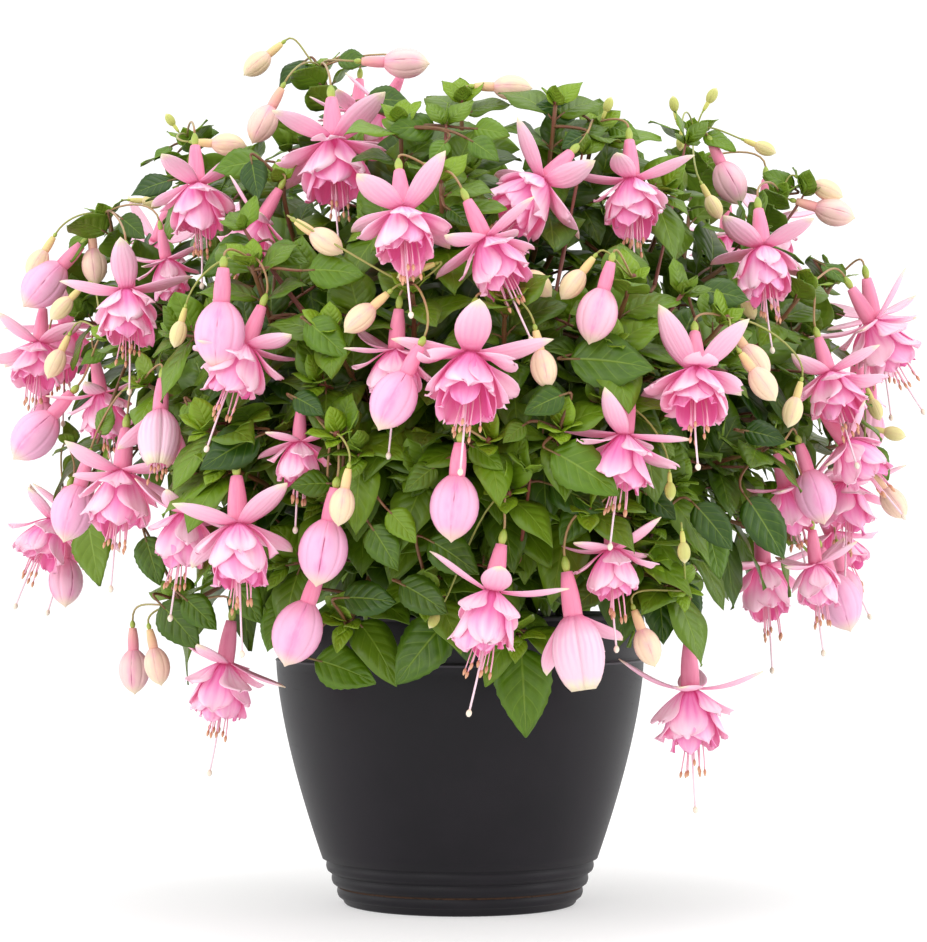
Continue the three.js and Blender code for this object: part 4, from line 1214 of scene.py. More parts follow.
class Foliage:
    """Twigs, woody stems and all leaves. Draws are keyed by twig, and by SIDE and more for finer twigs."""

    SIDE = 1000
    SIDE_TUFT = 2000
    BRANCH_TUFT = 3000
    WOOD = 4000
    KEYS_EACH = 40

    def __init__(self, plant: Plant, found: NodePlaces, crowd: Crowd) -> None:
        """Keeps what the foliage follows.

        Args:
            plant: the plan of the plant.
            found: the search among the frame's points.
            crowd: what fills the canopy.
        """
        self.plant = plant
        self.found = found
        self.crowd = crowd
        self.leaf = LeafShape()
        self.rules = LeafRules()
        self.fill = FillRules()
        self.works: dict[int, MeshWork] = {shoot: MeshWork() for shoot in plant.shoots}

    def grow_all(self) -> None:
        """Grows the solids' leaves first, then the finer ones between them."""
        for twig in self.plant.twigs:
            self.grow_twig(twig)
        for number, leaf in enumerate(FRONT_LEAVES):
            self.grow_front_leaf(leaf, number)
        for number, branch in enumerate(FRONT_BRANCHES):
            self.grow_branch(branch, number)
        for twig in self.plant.twigs:
            self.grow_pairs(self.works[twig.shoot], twig.route, twig.key)
            self.grow_tuft(self.works[twig.shoot], twig.tip, twig.heading, twig.key)
        for twig in self.plant.twigs:
            count = int((twig.route.length - self.fill.side_twig_end) / self.fill.side_twig_spacing)
            for k in range(count):
                start = twig.route.along(self.fill.side_twig_from + k * self.fill.side_twig_spacing)
                self.grow_side_twig(self.works[twig.shoot], start, (twig.key, k))
        for shoot in self.plant.woods:
            for k in range(self.fill.wood_twigs):
                self.grow_wood_twig(shoot, k)

    def grow_leaf(self, work: MeshWork, place: LeafPlace, grid: tuple[int, int]) -> None:
        """Grows a leaf and remembers where it is."""
        self.leaf.grow(work, place, *grid)
        self.crowd.add_leaf(place)

    def grow_twig(self, twig: Twig) -> None:
        """Adds a twig, thicker at its leaf pairs, and those of its leaves that the solids have.

        Args:
            twig: the twig.
        """
        fill, length = self.fill, twig.route.length
        distances = np.linspace(0, length, max(8, int(length / fill.twig_bend)))
        path = twig.route.along(distances)
        knots = fill.twig_knots * np.cos(distances * 2 * np.pi / fill.pair_spacing)
        radii = fill.twig_radius - fill.twig_taper * distances / length + knots
        if twig.start is not None:
            path = np.vstack([twig.start, path])
            radii = np.concatenate([[fill.twig_radius], radii])
        work = self.works[twig.shoot]
        work.tube(path, radii, 7, Finish.TWIG, tone=draw(twig.key, 5), age=0.3)
        node = f"shoot_{twig.shoot:02d}"
        for place in self.rules.places(twig, lambda tip: self.found.has(node, tip)):
            self.grow_leaf(work, place, fill.solid_grid)

    def grow_front_leaf(self, leaf: FrontLeaf, number: int) -> None:
        """Grows a leaf that the photograph shows, on a stem of its own from the nearest twig.

        Args:
            leaf: its pixels, inset and youth.
            number: its number.
        """
        canopy, fill = self.plant.canopy, self.fill
        for step in fill.front_steps:
            ends = [canopy.sight_point(pixel, leaf.inset + step) for pixel in (leaf.root, leaf.tip)]
            middle = sum(end[1] for end in ends) / 2
            root = canopy.view.at_depth(leaf.root, middle + fill.front_lean)
            way = canopy.view.at_depth(leaf.tip, middle - fill.front_lean) - root
            way = way + UP * np.linalg.norm(way) * fill.front_droop
            looks = (float(np.linalg.norm(way)), leaf.young, draw(number, 8), fill.front_droop)
            place = LeafPlace(root, unit(way), *looks, *fill.front_face)
            if self.crowd.is_clear(place.midrib(0.3, 0.6, 1.0), 0):
                break
        else:
            LOG.info("front leaf %d finds no clear place", number)
            return
        work = self.grow_stem(root, place.along, fill.stem_radii, fill.longest_stem)
        if work is None:
            LOG.info("front leaf %d finds no near twig", number)
        else:
            self.grow_leaf(work, place, fill.front_grid)

    def grow_stem(
        self, end: np.ndarray, along: np.ndarray, radii: tuple[float, float], longest: float
    ) -> MeshWork | None:
        """Grows a stem to a point from the nearest twig that is not in front of it.

        Args:
            end: where the stem ends.
            along: the way it points there.
            radii: its radius at the twig and at its end.
            longest: how far the twig may be.

        Returns:
            The mesh of the twig's shoot, or nothing if no twig is near.
        """
        starts = []
        for twig in self.plant.twigs:
            path = twig.route.steps(self.fill.stem_starts)
            gaps = np.linalg.norm(path - end, axis=1) + 2 * np.maximum(0, end[1] - path[:, 1])
            starts += [(float(gap), twig.shoot, start) for gap, start in zip(gaps, path) if gap < longest]
        starts.sort(key=lambda entry: entry[0])
        for _, shoot, start in starts:
            way = end - start
            reach = float(np.linalg.norm(way))
            curve = Bend(start, start + way * 0.4 + UP * 0.1 * reach, end - along * 0.3 * reach, end)
            path = curve.at(np.linspace(0, 1, 10))
            if self.crowd.is_clear(path, 1):
                tone = draw(shoot, 39)
                self.works[shoot].tube(path, np.linspace(*radii, 10), 6, Finish.TWIG, tone=tone, age=0.4)
                return self.works[shoot]
        return None

    def grow_branch(self, branch: FrontBranch, number: int) -> None:
        """Grows a bare branch that the photograph shows between the leaves, with a tuft at its end.

        Args:
            branch: its pixels, inset and radius.
            number: its number.
        """
        foot = self.plant.canopy.sight_point(branch.foot, branch.inset + self.fill.branch_inset)
        tip = self.plant.canopy.sight_point(branch.tip, branch.inset)
        way = tip - foot
        work = self.grow_stem(foot, unit(way), (branch.radius, branch.radius), math.inf)
        if work is None:
            LOG.info("branch %d finds no near twig", number)
            return
        curve = Bend(foot, foot + way * 0.3, tip - way * 0.3 - UP * 3, tip)
        knots = self.fill.branch_knots * np.cos(np.linspace(0, 5 * np.pi, 12))
        radii = np.linspace(1, self.fill.branch_taper, 12) * branch.radius + knots
        work.tube(curve.at(np.linspace(0, 1, 12)), radii, 8, Finish.TWIG, tone=0.9, age=1.0)
        self.grow_tuft(work, tip, curve.tangent(), self.BRANCH_TUFT + number)

    def try_leaf(self, work: MeshWork, places: Sequence[LeafPlace]) -> bool:
        """Grows the first of several leaves that is clear of the flowers and inside the canopy.

        Args:
            work: the mesh that gets it.
            places: where it may grow.

        Returns:
            Whether one grew.
        """
        for place in places:
            points = place.midrib(0.45, 0.75, 1.0)
            is_inside = self.crowd.is_inside(points, self.fill.margin)
            if is_inside and self.crowd.is_clear(points, self.fill.flower_gap):
                is_inner = self.plant.canopy.depth(points[0]) > self.fill.inner_depth
                self.grow_leaf(work, place, self.fill.inner_grid if is_inner else self.fill.grid)
                return True
        return False

    def grow_pairs(self, work: MeshWork, route: Bend, key: int) -> int:
        """Grows opposite pairs of leaves along a twig, each pair square to the one before.

        Args:
            work: the mesh that gets them.
            route: the twig's way.
            key: what the draws depend on.

        Returns:
            How many leaves grew.
        """
        fill, count, pair = self.fill, 0, 0
        distance = route.length - fill.first_pair
        while distance > fill.first_pair:
            here, ahead = route.along(np.array([distance, distance + 1]))
            forward = unit(ahead - here)
            level = level_to(forward)
            turn = math.radians(90 * (pair % 2) + spread(fill.pair_spread, key, pair, 11))
            first = turned(level, np.cross(forward, level), turn)
            if self.crowd.room(here, self.crowd.roots) > fill.keep_off:
                young = max(0.0, 1 - (route.length - distance) / fill.young_over) * fill.young_pair
                for side, outward in enumerate((first, -first)):
                    size = fill.longest + spread(fill.length_spread, key, pair, side, 12)
                    size = max(fill.shortest, size * (1 - fill.young_size * young))
                    tone = draw(key, pair, side, 13)
                    ways = [
                        (unit(outward + forward * pitch + UP * lift), size * scale)
                        for pitch, lift, scale in fill.pair_ways
                    ]
                    count += self.try_leaf(work, [LeafPlace(here, *way, young, tone) for way in ways])
            distance -= fill.pair_spacing
            pair += 1
        return count

    def grow_tuft(self, work: MeshWork, tip: np.ndarray, heading: np.ndarray, key: int) -> None:
        """Grows the young leaves at the end of a twig.

        Args:
            work: the mesh that gets them.
            tip: the twig's end.
            heading: its direction there.
            key: what the draws depend on.
        """
        fill, level = self.fill, level_to(heading)
        is_fine = key >= self.SIDE
        is_inner = self.plant.canopy.depth(tip) > fill.inner_depth
        for k in range(fill.tuft_leaves - 2 * is_inner):
            turn = math.radians(90 * k + 45 * (k // 4) + spread(fill.tuft_turn_spread, key, k, 21))
            outward = turned(level, np.cross(heading, level), turn)
            pitch = fill.tuft_pitch + fill.tuft_opening * k / fill.tuft_leaves
            along = unit(outward + heading * pitch + UP * fill.tuft_rise)
            length = fill.tuft_length * (1 - fill.tuft_shrink * k) + spread(fill.tuft_spread, key, k, 22)
            young = fill.inner_young if is_fine else fill.tuft_young
            root = tip - heading * fill.tuft_sunk
            place = LeafPlace(root, along, length, young, draw(key, k, 23), fill.tuft_droop)
            self.leaf.grow(work, place, *(fill.inner_grid if is_fine else fill.tuft_grid))

    def grow_leafy(
        self, work: MeshWork, start: np.ndarray, way: np.ndarray, end: np.ndarray, keys: tuple[int, float]
    ) -> Bend | None:
        """Grows a short twig with pairs of leaves, if there is room for any.

        Args:
            work: the mesh that gets it.
            start: where it starts.
            way: its direction and length.
            end: where it ends.
            keys: what the draws depend on, and the twig's tone.

        Returns:
            The twig's curve, or nothing if no leaf found room.
        """
        fill = self.fill
        rises = fill.wood_twig_rises if keys[0] >= self.WOOD else fill.side_twig_rises
        route = Bend(start, start + way * 0.35 + UP * rises[0], end - way * 0.3 + UP * rises[1], end)
        if not self.grow_pairs(work, route, keys[0]):
            return None
        path = route.steps(6 if keys[0] >= self.WOOD else 7)
        work.tube(path, fill.side_twig_radius, 5, Finish.TWIG, tone=keys[1], age=0.6)
        return route

    def grow_wood_twig(self, shoot: int, k: int) -> None:
        """Grows a short leafy twig from a woody stem, to fill the room above the pot.

        Args:
            shoot: the stem's shoot.
            k: the twig's number.
        """
        wood, fill = self.plant.woods[shoot], self.fill
        turn = math.radians(fill.wood_twig_turn * k + 360 * draw(shoot, k, 35))
        start = wood.along(wood.length * (0.15 + 0.8 * k / fill.wood_twigs))
        way = turned(RIGHT, -FRONT, turn) + UP * spread(0.3, shoot, k, 36)
        length = fill.wood_twig_length * (0.8 + 0.5 * draw(shoot, k, 37))
        end = start + unit(way) * length
        if self.crowd.is_inside(np.array([end]), fill.side_twig_margin):
            keys = (self.WOOD + self.KEYS_EACH * shoot + k, draw(shoot, k, 38))
            self.grow_leafy(self.works[shoot], start, way * length, end, keys)

    def grow_side_twig(self, work: MeshWork, start: np.ndarray, keys: Keys) -> None:
        """Grows one side twig, the way that has the most room for its leaves.

        Args:
            work: the mesh that gets it.
            start: where it leaves its twig.
            keys: the numbers of its twig and of its place on it.
        """
        fill, crowd = self.fill, self.crowd
        best, most = None, fill.side_twig_room
        length = fill.side_twig_length + spread(fill.side_twig_spread, *keys, 31)
        for way in range(fill.side_twig_ways):
            turn = 2 * math.pi * (way + draw(*keys, 32)) / fill.side_twig_ways
            lift = fill.side_twig_lift * draw(*keys, way, 33) - fill.side_twig_sink
            level = turned(RIGHT, -FRONT, turn) + outward_at(start) * fill.side_twig_outward
            toward = unit(level + UP * lift)
            points = start + toward * length * np.array([[0.5], [1.0]])
            is_inside = crowd.is_inside(points, fill.side_twig_margin)
            if is_inside and crowd.is_clear(points, fill.side_twig_gap):
                room = crowd.room(points[1], crowd.leaves) + 0.5 * crowd.room(points[0], crowd.leaves)
                if room > most * fill.side_twig_gain:
                    best, most = toward, room / fill.side_twig_gain
        if best is None:
            return
        number = self.KEYS_EACH * keys[0] + keys[1]
        end = start + best * length
        route = self.grow_leafy(work, start, best * length, end, (self.SIDE + number, draw(*keys, 34)))
        if route is not None:
            self.grow_tuft(work, end, route.tangent(), self.SIDE_TUFT + number)

    def grow_wood(self, crown_radius: float) -> MeshWork:
        """Makes the crown with its woody stems.

        Args:
            crown_radius: the crown's radius at its foot.

        Returns:
            Their mesh.
        """
        work, fill = MeshWork(), self.fill
        for shoot, wood in self.plant.woods.items():
            knots = fill.wood_knots * np.cos(np.linspace(0, 5 * np.pi, 14) + shoot)
            radii = np.linspace(*fill.wood_radii, 14) + knots
            work.tube(wood.at(np.linspace(0, 1, 14)), radii, 9, Finish.BARK, tone=draw(shoot, 41))
        height = np.linspace(0, 1, 12)
        radius = crown_radius * (1 - fill.crown_taper * height**3) + 0.5 * np.cos(9 * height)
        middle = UP * (fill.crown_foot + fill.crown_height * height)[:, None]
        middle = middle + RIGHT * 0.6 * np.sin(5 * height)[:, None]
        work.tube(middle, radius, 20, Finish.BARK, tone=0.4)
        return work


@dataclass(frozen=True)
class Head:
    """One flower or bud while it is made: its mesh, its axes, its own number and how ripe it is."""

    work: MeshWork
    item: Item
    axes: Axes
    tone: float
    ripe: float

    @property
    def key(self) -> int:
        """Returns a whole number that the flower's draws depend on."""
        return int(self.tone * 100000)

    def place(self, radius: Any, angle: Any, depth: Any) -> np.ndarray:
        """Returns points at a radius, angle and depth that grow with the flower's size."""
        return self.axes.place(radius * self.item.size, angle, depth * self.item.size)


@dataclass(frozen=True)
class TubeSizes:
    """The lengths of a tube and its ovary, and the tube's radius at the neck."""

    tube: float
    ovary: float
    flare: float


@dataclass(frozen=True)
class StalkSizes:
    """Stalk, ovary and tube, which lead from the hub to a flower's neck."""

    of_flower: TubeSizes = TubeSizes(22, 8, 4.9)
    of_bud: TubeSizes = TubeSizes(17, 6, 4.2)
    lift: float = 0.35
    outward: float = 0.8
    reach: float = 0.35
    longest_handle: float = 15
    radius: float = 0.7
    small_share: float = 0.75
    ovary_radius: float = 2.25
    top_radius: float = 2.9
    swell: float = 0.7
    overlap: float = 0.06
    sunk: float = 0.8

    def grow(self, head: Head, twig: Twig) -> None:
        """Adds the stalk, the ovary and the tube of a flower or bud.

        Args:
            head: the flower or bud.
            twig: the twig that it hangs from.
        """
        sizes = self.of_bud if head.item.kind is Kind.BUD else self.of_flower
        size, hang = head.item.size, head.axes.hang
        tube, ovary = sizes.tube * size, sizes.ovary * size
        top = head.axes.below(-(tube + ovary))
        handle = min(self.reach * float(np.linalg.norm(top - twig.hub)), self.longest_handle)
        leaving = unit(twig.heading * self.lift + outward_at(top - twig.hub) * self.outward) * handle
        path = Bend(twig.hub, twig.hub + leaving, top - hang * handle, top).at(np.linspace(0, 1, 11))
        looks = {"tone": head.tone, "age": head.ripe}
        thickness = self.radius * (self.small_share + (1 - self.small_share) * size)
        head.work.tube(path, thickness, 5, Finish.STALK, **looks)
        share = np.linspace(0, 1, 7)
        belly = self.ovary_radius * np.sin(np.pi * (0.08 + 0.84 * share)) ** 0.8
        path = top + hang * (ovary * ((1 + 2 * self.overlap) * share - self.overlap))[:, None]
        head.work.tube(path, np.maximum(belly, self.radius) * size, 9, Finish.OVARY, **looks)
        radii = self.top_radius * (1 - share) + sizes.flare * share + self.swell * np.sin(np.pi * share)
        length = tube + ovary * self.overlap + self.sunk
        path = top + hang * (ovary * (1 - self.overlap) + length * share)[:, None]
        head.work.tube(path, radii * size, 12, Finish.TUBE, **looks)


@dataclass(frozen=True)
class BudShape:
    """A closed flower: four sepals that meet in seams."""

    length: float = 35
    radius: float = 12.6
    shares: tuple[float, ...] = (
        0, 0.03, 0.08, 0.15, 0.24, 0.36, 0.48, 0.6, 0.71, 0.81, 0.89, 0.95, 0.99, 1.02, 1.06
    )
    widths: tuple[float, ...] = (
        0.35, 0.45, 0.59, 0.74, 0.87, 0.97, 1, 0.97, 0.88, 0.74, 0.57, 0.39, 0.23, 0.11, 0.01
    )
    seam_shares: tuple[float, ...] = (0, 0.04, 0.12, 0.28, 0.5, 0.72, 0.88, 0.96)
    seam_depth: float = 0.055
    seam_width: float = 0.055
    quilt: float = 0.025
    slimness: float = 0.8
    drawn: float = 0.94
    twist: float = 0.3

    def grow(self, head: Head) -> None:
        """Adds the bud's body below the neck.

        Args:
            head: the bud.
        """
        share, width = np.array(self.shares)[:, None], np.array(self.widths)[:, None]
        angles = QUARTER * (np.arange(4)[:, None] + np.array(self.seam_shares)).ravel()
        seam = np.abs((angles + QUARTER / 2) % QUARTER - QUARTER / 2)
        groove = 1 - self.seam_depth * np.exp(-((seam / self.seam_width) ** 2))
        groove = groove - self.quilt * np.cos(4 * seam)
        radius = self.radius * (self.slimness + (1 - self.slimness) * head.ripe) * width * groove
        turn = self.twist * (head.tone - 0.5) * share
        points = head.place(radius, angles + QUARTER / 2 + turn, self.drawn * self.length * share)
        rows, sides = points.shape[:2]
        along = np.repeat(share / share[-1], sides)
        across = np.tile(seam / (QUARTER / 2), rows)
        looks = {"along": along, "across": across, "tone": head.tone, "age": head.ripe}
        head.work.add(points, capped_faces(rows, sides), Finish.BUD, **looks)


@dataclass(frozen=True)
class SepalShape:
    """One of the four outer petals that stand out from the neck, or that close a half-open flower."""

    length: float = 38
    half_width: float = 7.4
    width_spread: float = 0.13
    angle: float = 92
    angle_spread: float = 14
    raised: float = 15
    raised_at: float = 0.35
    angle_steps: tuple[float, ...] = (0, -14, 14, -28, 28, -42)
    curl: float = 0.05
    curl_spread: float = 0.14
    arch: float = 0.05
    sway: float = 0.1
    root_radius: float = 4.2
    root_depth: tuple[float, float] = (1.6, 0.4)
    thickness: float = 0.6
    cup: float = 0.14
    rows: int = 11
    columns: int = 5
    opening_swell: float = 1.08
    opening_slit: float = -0.03
    opening_gape: float = 0.03
    opening_flare: float = 3
    opening_angle: float = 52
    closed: int = 2

    def grow(self, head: Head, index: int, is_clear: Callable[[np.ndarray], bool]) -> None:
        """Adds a sepal, raised along the tube where it points upwards.

        Args:
            head: the flower.
            index: the sepal's number.
            is_clear: says whether points keep clear of the other flowers.
        """
        axes, key, size = head.axes, head.key, head.item.size
        length = self.length * size
        outward = turned(axes.side, axes.other, QUARTER * index + spread(0.06, key, index, 52))
        sideways = np.cross(axes.hang, outward)
        angle = self.opening_angle if head.item.kind is Kind.OPENING else self.angle
        angle += self.raised * float(np.clip(outward[2] / self.raised_at, -0.4, 1))
        angle += spread(self.angle_spread, key, index, 51)
        for step in self.angle_steps:
            tilt = math.radians(angle + step)
            way = turned(axes.hang, outward, tilt)
            if is_clear(axes.neck + way * (length * np.array([[0.45], [0.7], [1.0]]))):
                break
        s = np.linspace(0, 1, self.rows)[:, None]
        t = np.linspace(-1, 1, self.columns)
        curl = self.curl + spread(self.curl_spread, key, index, 55)
        radius = self.root_radius * size * (1 - s) + length * s * math.sin(tilt)
        depth = length * (s * math.cos(tilt) - curl * s**2 + self.arch * np.sin(np.pi * s))
        depth = depth + size * (self.root_depth[0] * (1 - s) + self.root_depth[1] * s)
        middle = axes.neck + outward * radius + axes.hang * depth
        normal = np.cross(unit(np.gradient(middle, axis=0)), sideways)[:, None]
        shape = np.maximum(np.sin(np.pi * (0.13 + 0.87 * s**1.12)), 0) ** 0.78 + 0.006
        width = self.half_width * (1 + spread(self.width_spread, key, index, 54)) * size * shape
        lateral = width * t + spread(self.sway, key, index, 53) * length * s**2
        lift = -width * self.cup * t**2 * (1 + 1.5 * s)
        grid = middle[:, None] + sideways * lateral[..., None] + normal * lift[..., None]
        head.work.sheet(grid, self.thickness, Finish.SEPAL, along=s, across=t, tone=head.tone)

    def grow_closed(self, head: Head, bud_shape: BudShape, index: int) -> None:
        """Adds a sepal of a half-open flower, one panel of a swollen bud.

        Args:
            head: the flower.
            bud_shape: the bud's form.
            index: the sepal's number.
        """
        s = np.linspace(0, 1, self.rows)[:, None]
        t = np.linspace(-1, 1, self.columns)
        share = s * bud_shape.shares[-3]
        radius = bud_shape.radius * self.opening_swell * np.interp(share, bud_shape.shares, bud_shape.widths)
        radius = radius * (1 - 0.05 * np.abs(t) ** 3) + self.opening_flare * s**6
        half = QUARTER / 2 * (1 - self.opening_slit - self.opening_gape * s**3)
        depth = bud_shape.length * self.opening_swell * share
        grid = head.place(radius, QUARTER * index + half * t, depth)
        head.work.sheet(grid, self.thickness, Finish.SEPAL, along=s, across=t, tone=draw(index, 56))


@dataclass(frozen=True)
class PetalLayer:
    """One ring of petals in a double flower."""

    count: int
    radius: float
    length: float
    spread: float
    flare: float
    ruffle: float


@dataclass(frozen=True)
class PetalShape:
    """The ruffled skirt of petals below the sepals, from the innermost ring outwards."""

    layers: tuple[PetalLayer, ...] = (
        PetalLayer(4, 10, 31.5, 0.85, 0.02, 0.9),
        PetalLayer(4, 12.6, 31, 0.92, 0.04, 1.3),
        PetalLayer(4, 14.4, 27.5, 0.84, 0.09, 1.7),
        PetalLayer(4, 15.6, 19, 0.54, 0.4, 1.6),
    )
    root_radius: float = 3.0
    root_depth: float = 1.0
    length_spread: float = 0.13
    flare_spread: float = 0.5
    turn_spread: float = 0.16
    shoulder: float = 2.3
    closed_width: float = 0.54
    tuck: float = 0.2
    slant: float = 0.9
    thickness: float = 0.45
    rows: int = 9
    columns: int = 7
    round_from: float = 0.5

    def grow(self, head: Head) -> None:
        """Adds all petals of a flower.

        Args:
            head: the flower.
        """
        for number, layer in enumerate(self.layers):
            for k in range(layer.count):
                self.grow_petal(head, layer, (number, k))

    def grow_petal(self, head: Head, layer: PetalLayer, place: Keys) -> None:
        """Adds one petal, a spoon that starts near the axis and ends in a rounded wavy edge.

        Args:
            head: the flower.
            layer: the ring of petals that it belongs to.
            place: the numbers of the ring and of the petal in it.
        """
        keys = (head.key, *place)
        wide = self.closed_width if head.item.kind is Kind.OPENING else 1.0
        angle = 2 * math.pi * (place[1] + 0.5 * place[0]) / layer.count + spread(self.turn_spread, *keys, 61)
        s = (1 - (1 - np.linspace(0, 1, self.rows)) ** 1.5)[:, None]
        t = np.linspace(-1, 1, self.columns)
        length = layer.length * (1 + spread(self.length_spread, *keys, 62))
        openness = 0.4 + 1.1 * draw(head.key, 67)
        flare = layer.flare * (openness + spread(self.flare_spread, *keys, 63)) * wide
        bulge = (1 - (1 - s) ** self.shoulder) * (1 - self.tuck * (1.3 - openness) * s**3)
        edge = s**2.2
        waves = (0.8 + 0.9 * draw(*keys, 65)) * np.pi * t
        fold = layer.ruffle * wide * (0.35 * bulge + 0.65 * edge)
        radius = self.root_radius + (layer.radius * wide - self.root_radius) * bulge
        radius = radius + flare * length * edge * s + fold * np.sin(waves + 6.28 * draw(*keys, 64))
        radius = radius + self.slant * t * s + (0.8 + 1.5 * flare) * s * np.abs(t) ** 3
        past = np.clip((s - self.round_from) / (1 - self.round_from), 0, 1)
        half = layer.spread * (0.4 + 0.6 * np.sin(QUARTER * np.minimum(1, s * 1.4)))
        half = half * np.sqrt(np.maximum(1 - past**2, 0.02))
        depth = self.root_depth + (length - self.root_depth) * s - flare * length * 0.5 * edge
        depth = np.minimum(depth + 0.7 * layer.ruffle * edge * np.cos(waves), length)
        looks = {"along": s, "across": t, "tone": draw(*keys, 66), "age": place[0] / (len(self.layers) - 1)}
        head.work.sheet(head.place(radius, angle + half * t, depth), self.thickness, Finish.PETAL, **looks)


@dataclass(frozen=True)
class StamenShape:
    """Filaments with their anthers, and the long style with its stigma."""

    count: int = 8
    plain_count: int = 7
    from_depth: float = 10
    petal_length: float = 30
    reach: float = 11
    reach_spread: float = 4
    shown_face: float = 10
    splay: float = 0.09
    bunch: float = 1.5
    bow: float = 1.6
    radius: float = 0.42
    style_from: float = 6
    style_reach: float = 36
    style_bow: float = 1.5
    opening_reach: float = 4
    style_radius: float = 0.6
    anther_length: float = 4.2
    anther_radius: float = 0.95
    anther_swell: tuple[float, ...] = (0.35, 1, 0.9, 0.3)
    stigma_length: float = 4
    stigma_radius: float = 1.6

    def tip(self, kind: Kind) -> float:
        """Returns how far below the neck the style of an open or half-open flower ends."""
        return self.petal_length + (self.opening_reach if kind is Kind.OPENING else self.style_reach)

    def grow(self, head: Head) -> None:
        """Adds a flower's stamens and style.

        Args:
            head: the flower.
        """
        item = head.item
        is_shut = item.kind is Kind.OPENING and item.face < self.shown_face
        count = 0 if is_shut else self.plain_count if item.is_plain else self.count
        for k in range(count):
            self.grow_stamen(head, 2 * math.pi * k / count + spread(0.3, head.key, k, 71), k)
        reach = self.tip(item.kind) * item.size
        share = np.linspace(0, 1, 8)
        depth = self.style_from + (reach - self.stigma_length * 0.6 - self.style_from) * share
        bow = spread(self.style_bow, head.key, 75) * np.sin(np.pi * share)
        style = head.axes.place(bow, 0.0, depth)
        head.work.tube(style, self.style_radius, 5, Finish.STYLE, tone=head.tone)
        share = np.linspace(0, 1, 6)
        knob = self.stigma_radius * np.sin(np.pi * (0.08 + 0.84 * share)) ** 0.7
        path = head.axes.place(0.0, 0.0, reach - self.stigma_length * (1 - share))
        head.work.tube(path, knob, 7, Finish.STIGMA, tone=head.tone)

    def grow_stamen(self, head: Head, angle: float, k: int) -> None:
        """Adds one filament with its anther.

        Args:
            head: the flower.
            angle: where it stands round the style, in radians.
            k: its number.
        """
        reach = self.petal_length + self.reach + spread(self.reach_spread, head.key, k, 72)
        splay = self.splay * (0.55 + 0.9 * draw(head.key, k, 73))
        share = np.linspace(0, 1, 6)
        depth = self.from_depth + (reach - self.from_depth) * share
        path = head.place(self.bunch + splay * depth + self.bow * np.sin(2.5 * share + k), angle, depth)
        head.work.tube(path, self.radius, 4, Finish.FILAMENT, tone=head.tone)
        way = unit(path[-1] - path[-2])
        body = path[-1] + way * (self.anther_length * (np.linspace(0, 1, 4) - 0.3))[:, None]
        swell = np.array(self.anther_swell) * self.anther_radius
        head.work.tube(body, swell, 5, Finish.ANTHER, tone=draw(head.key, k, 74))


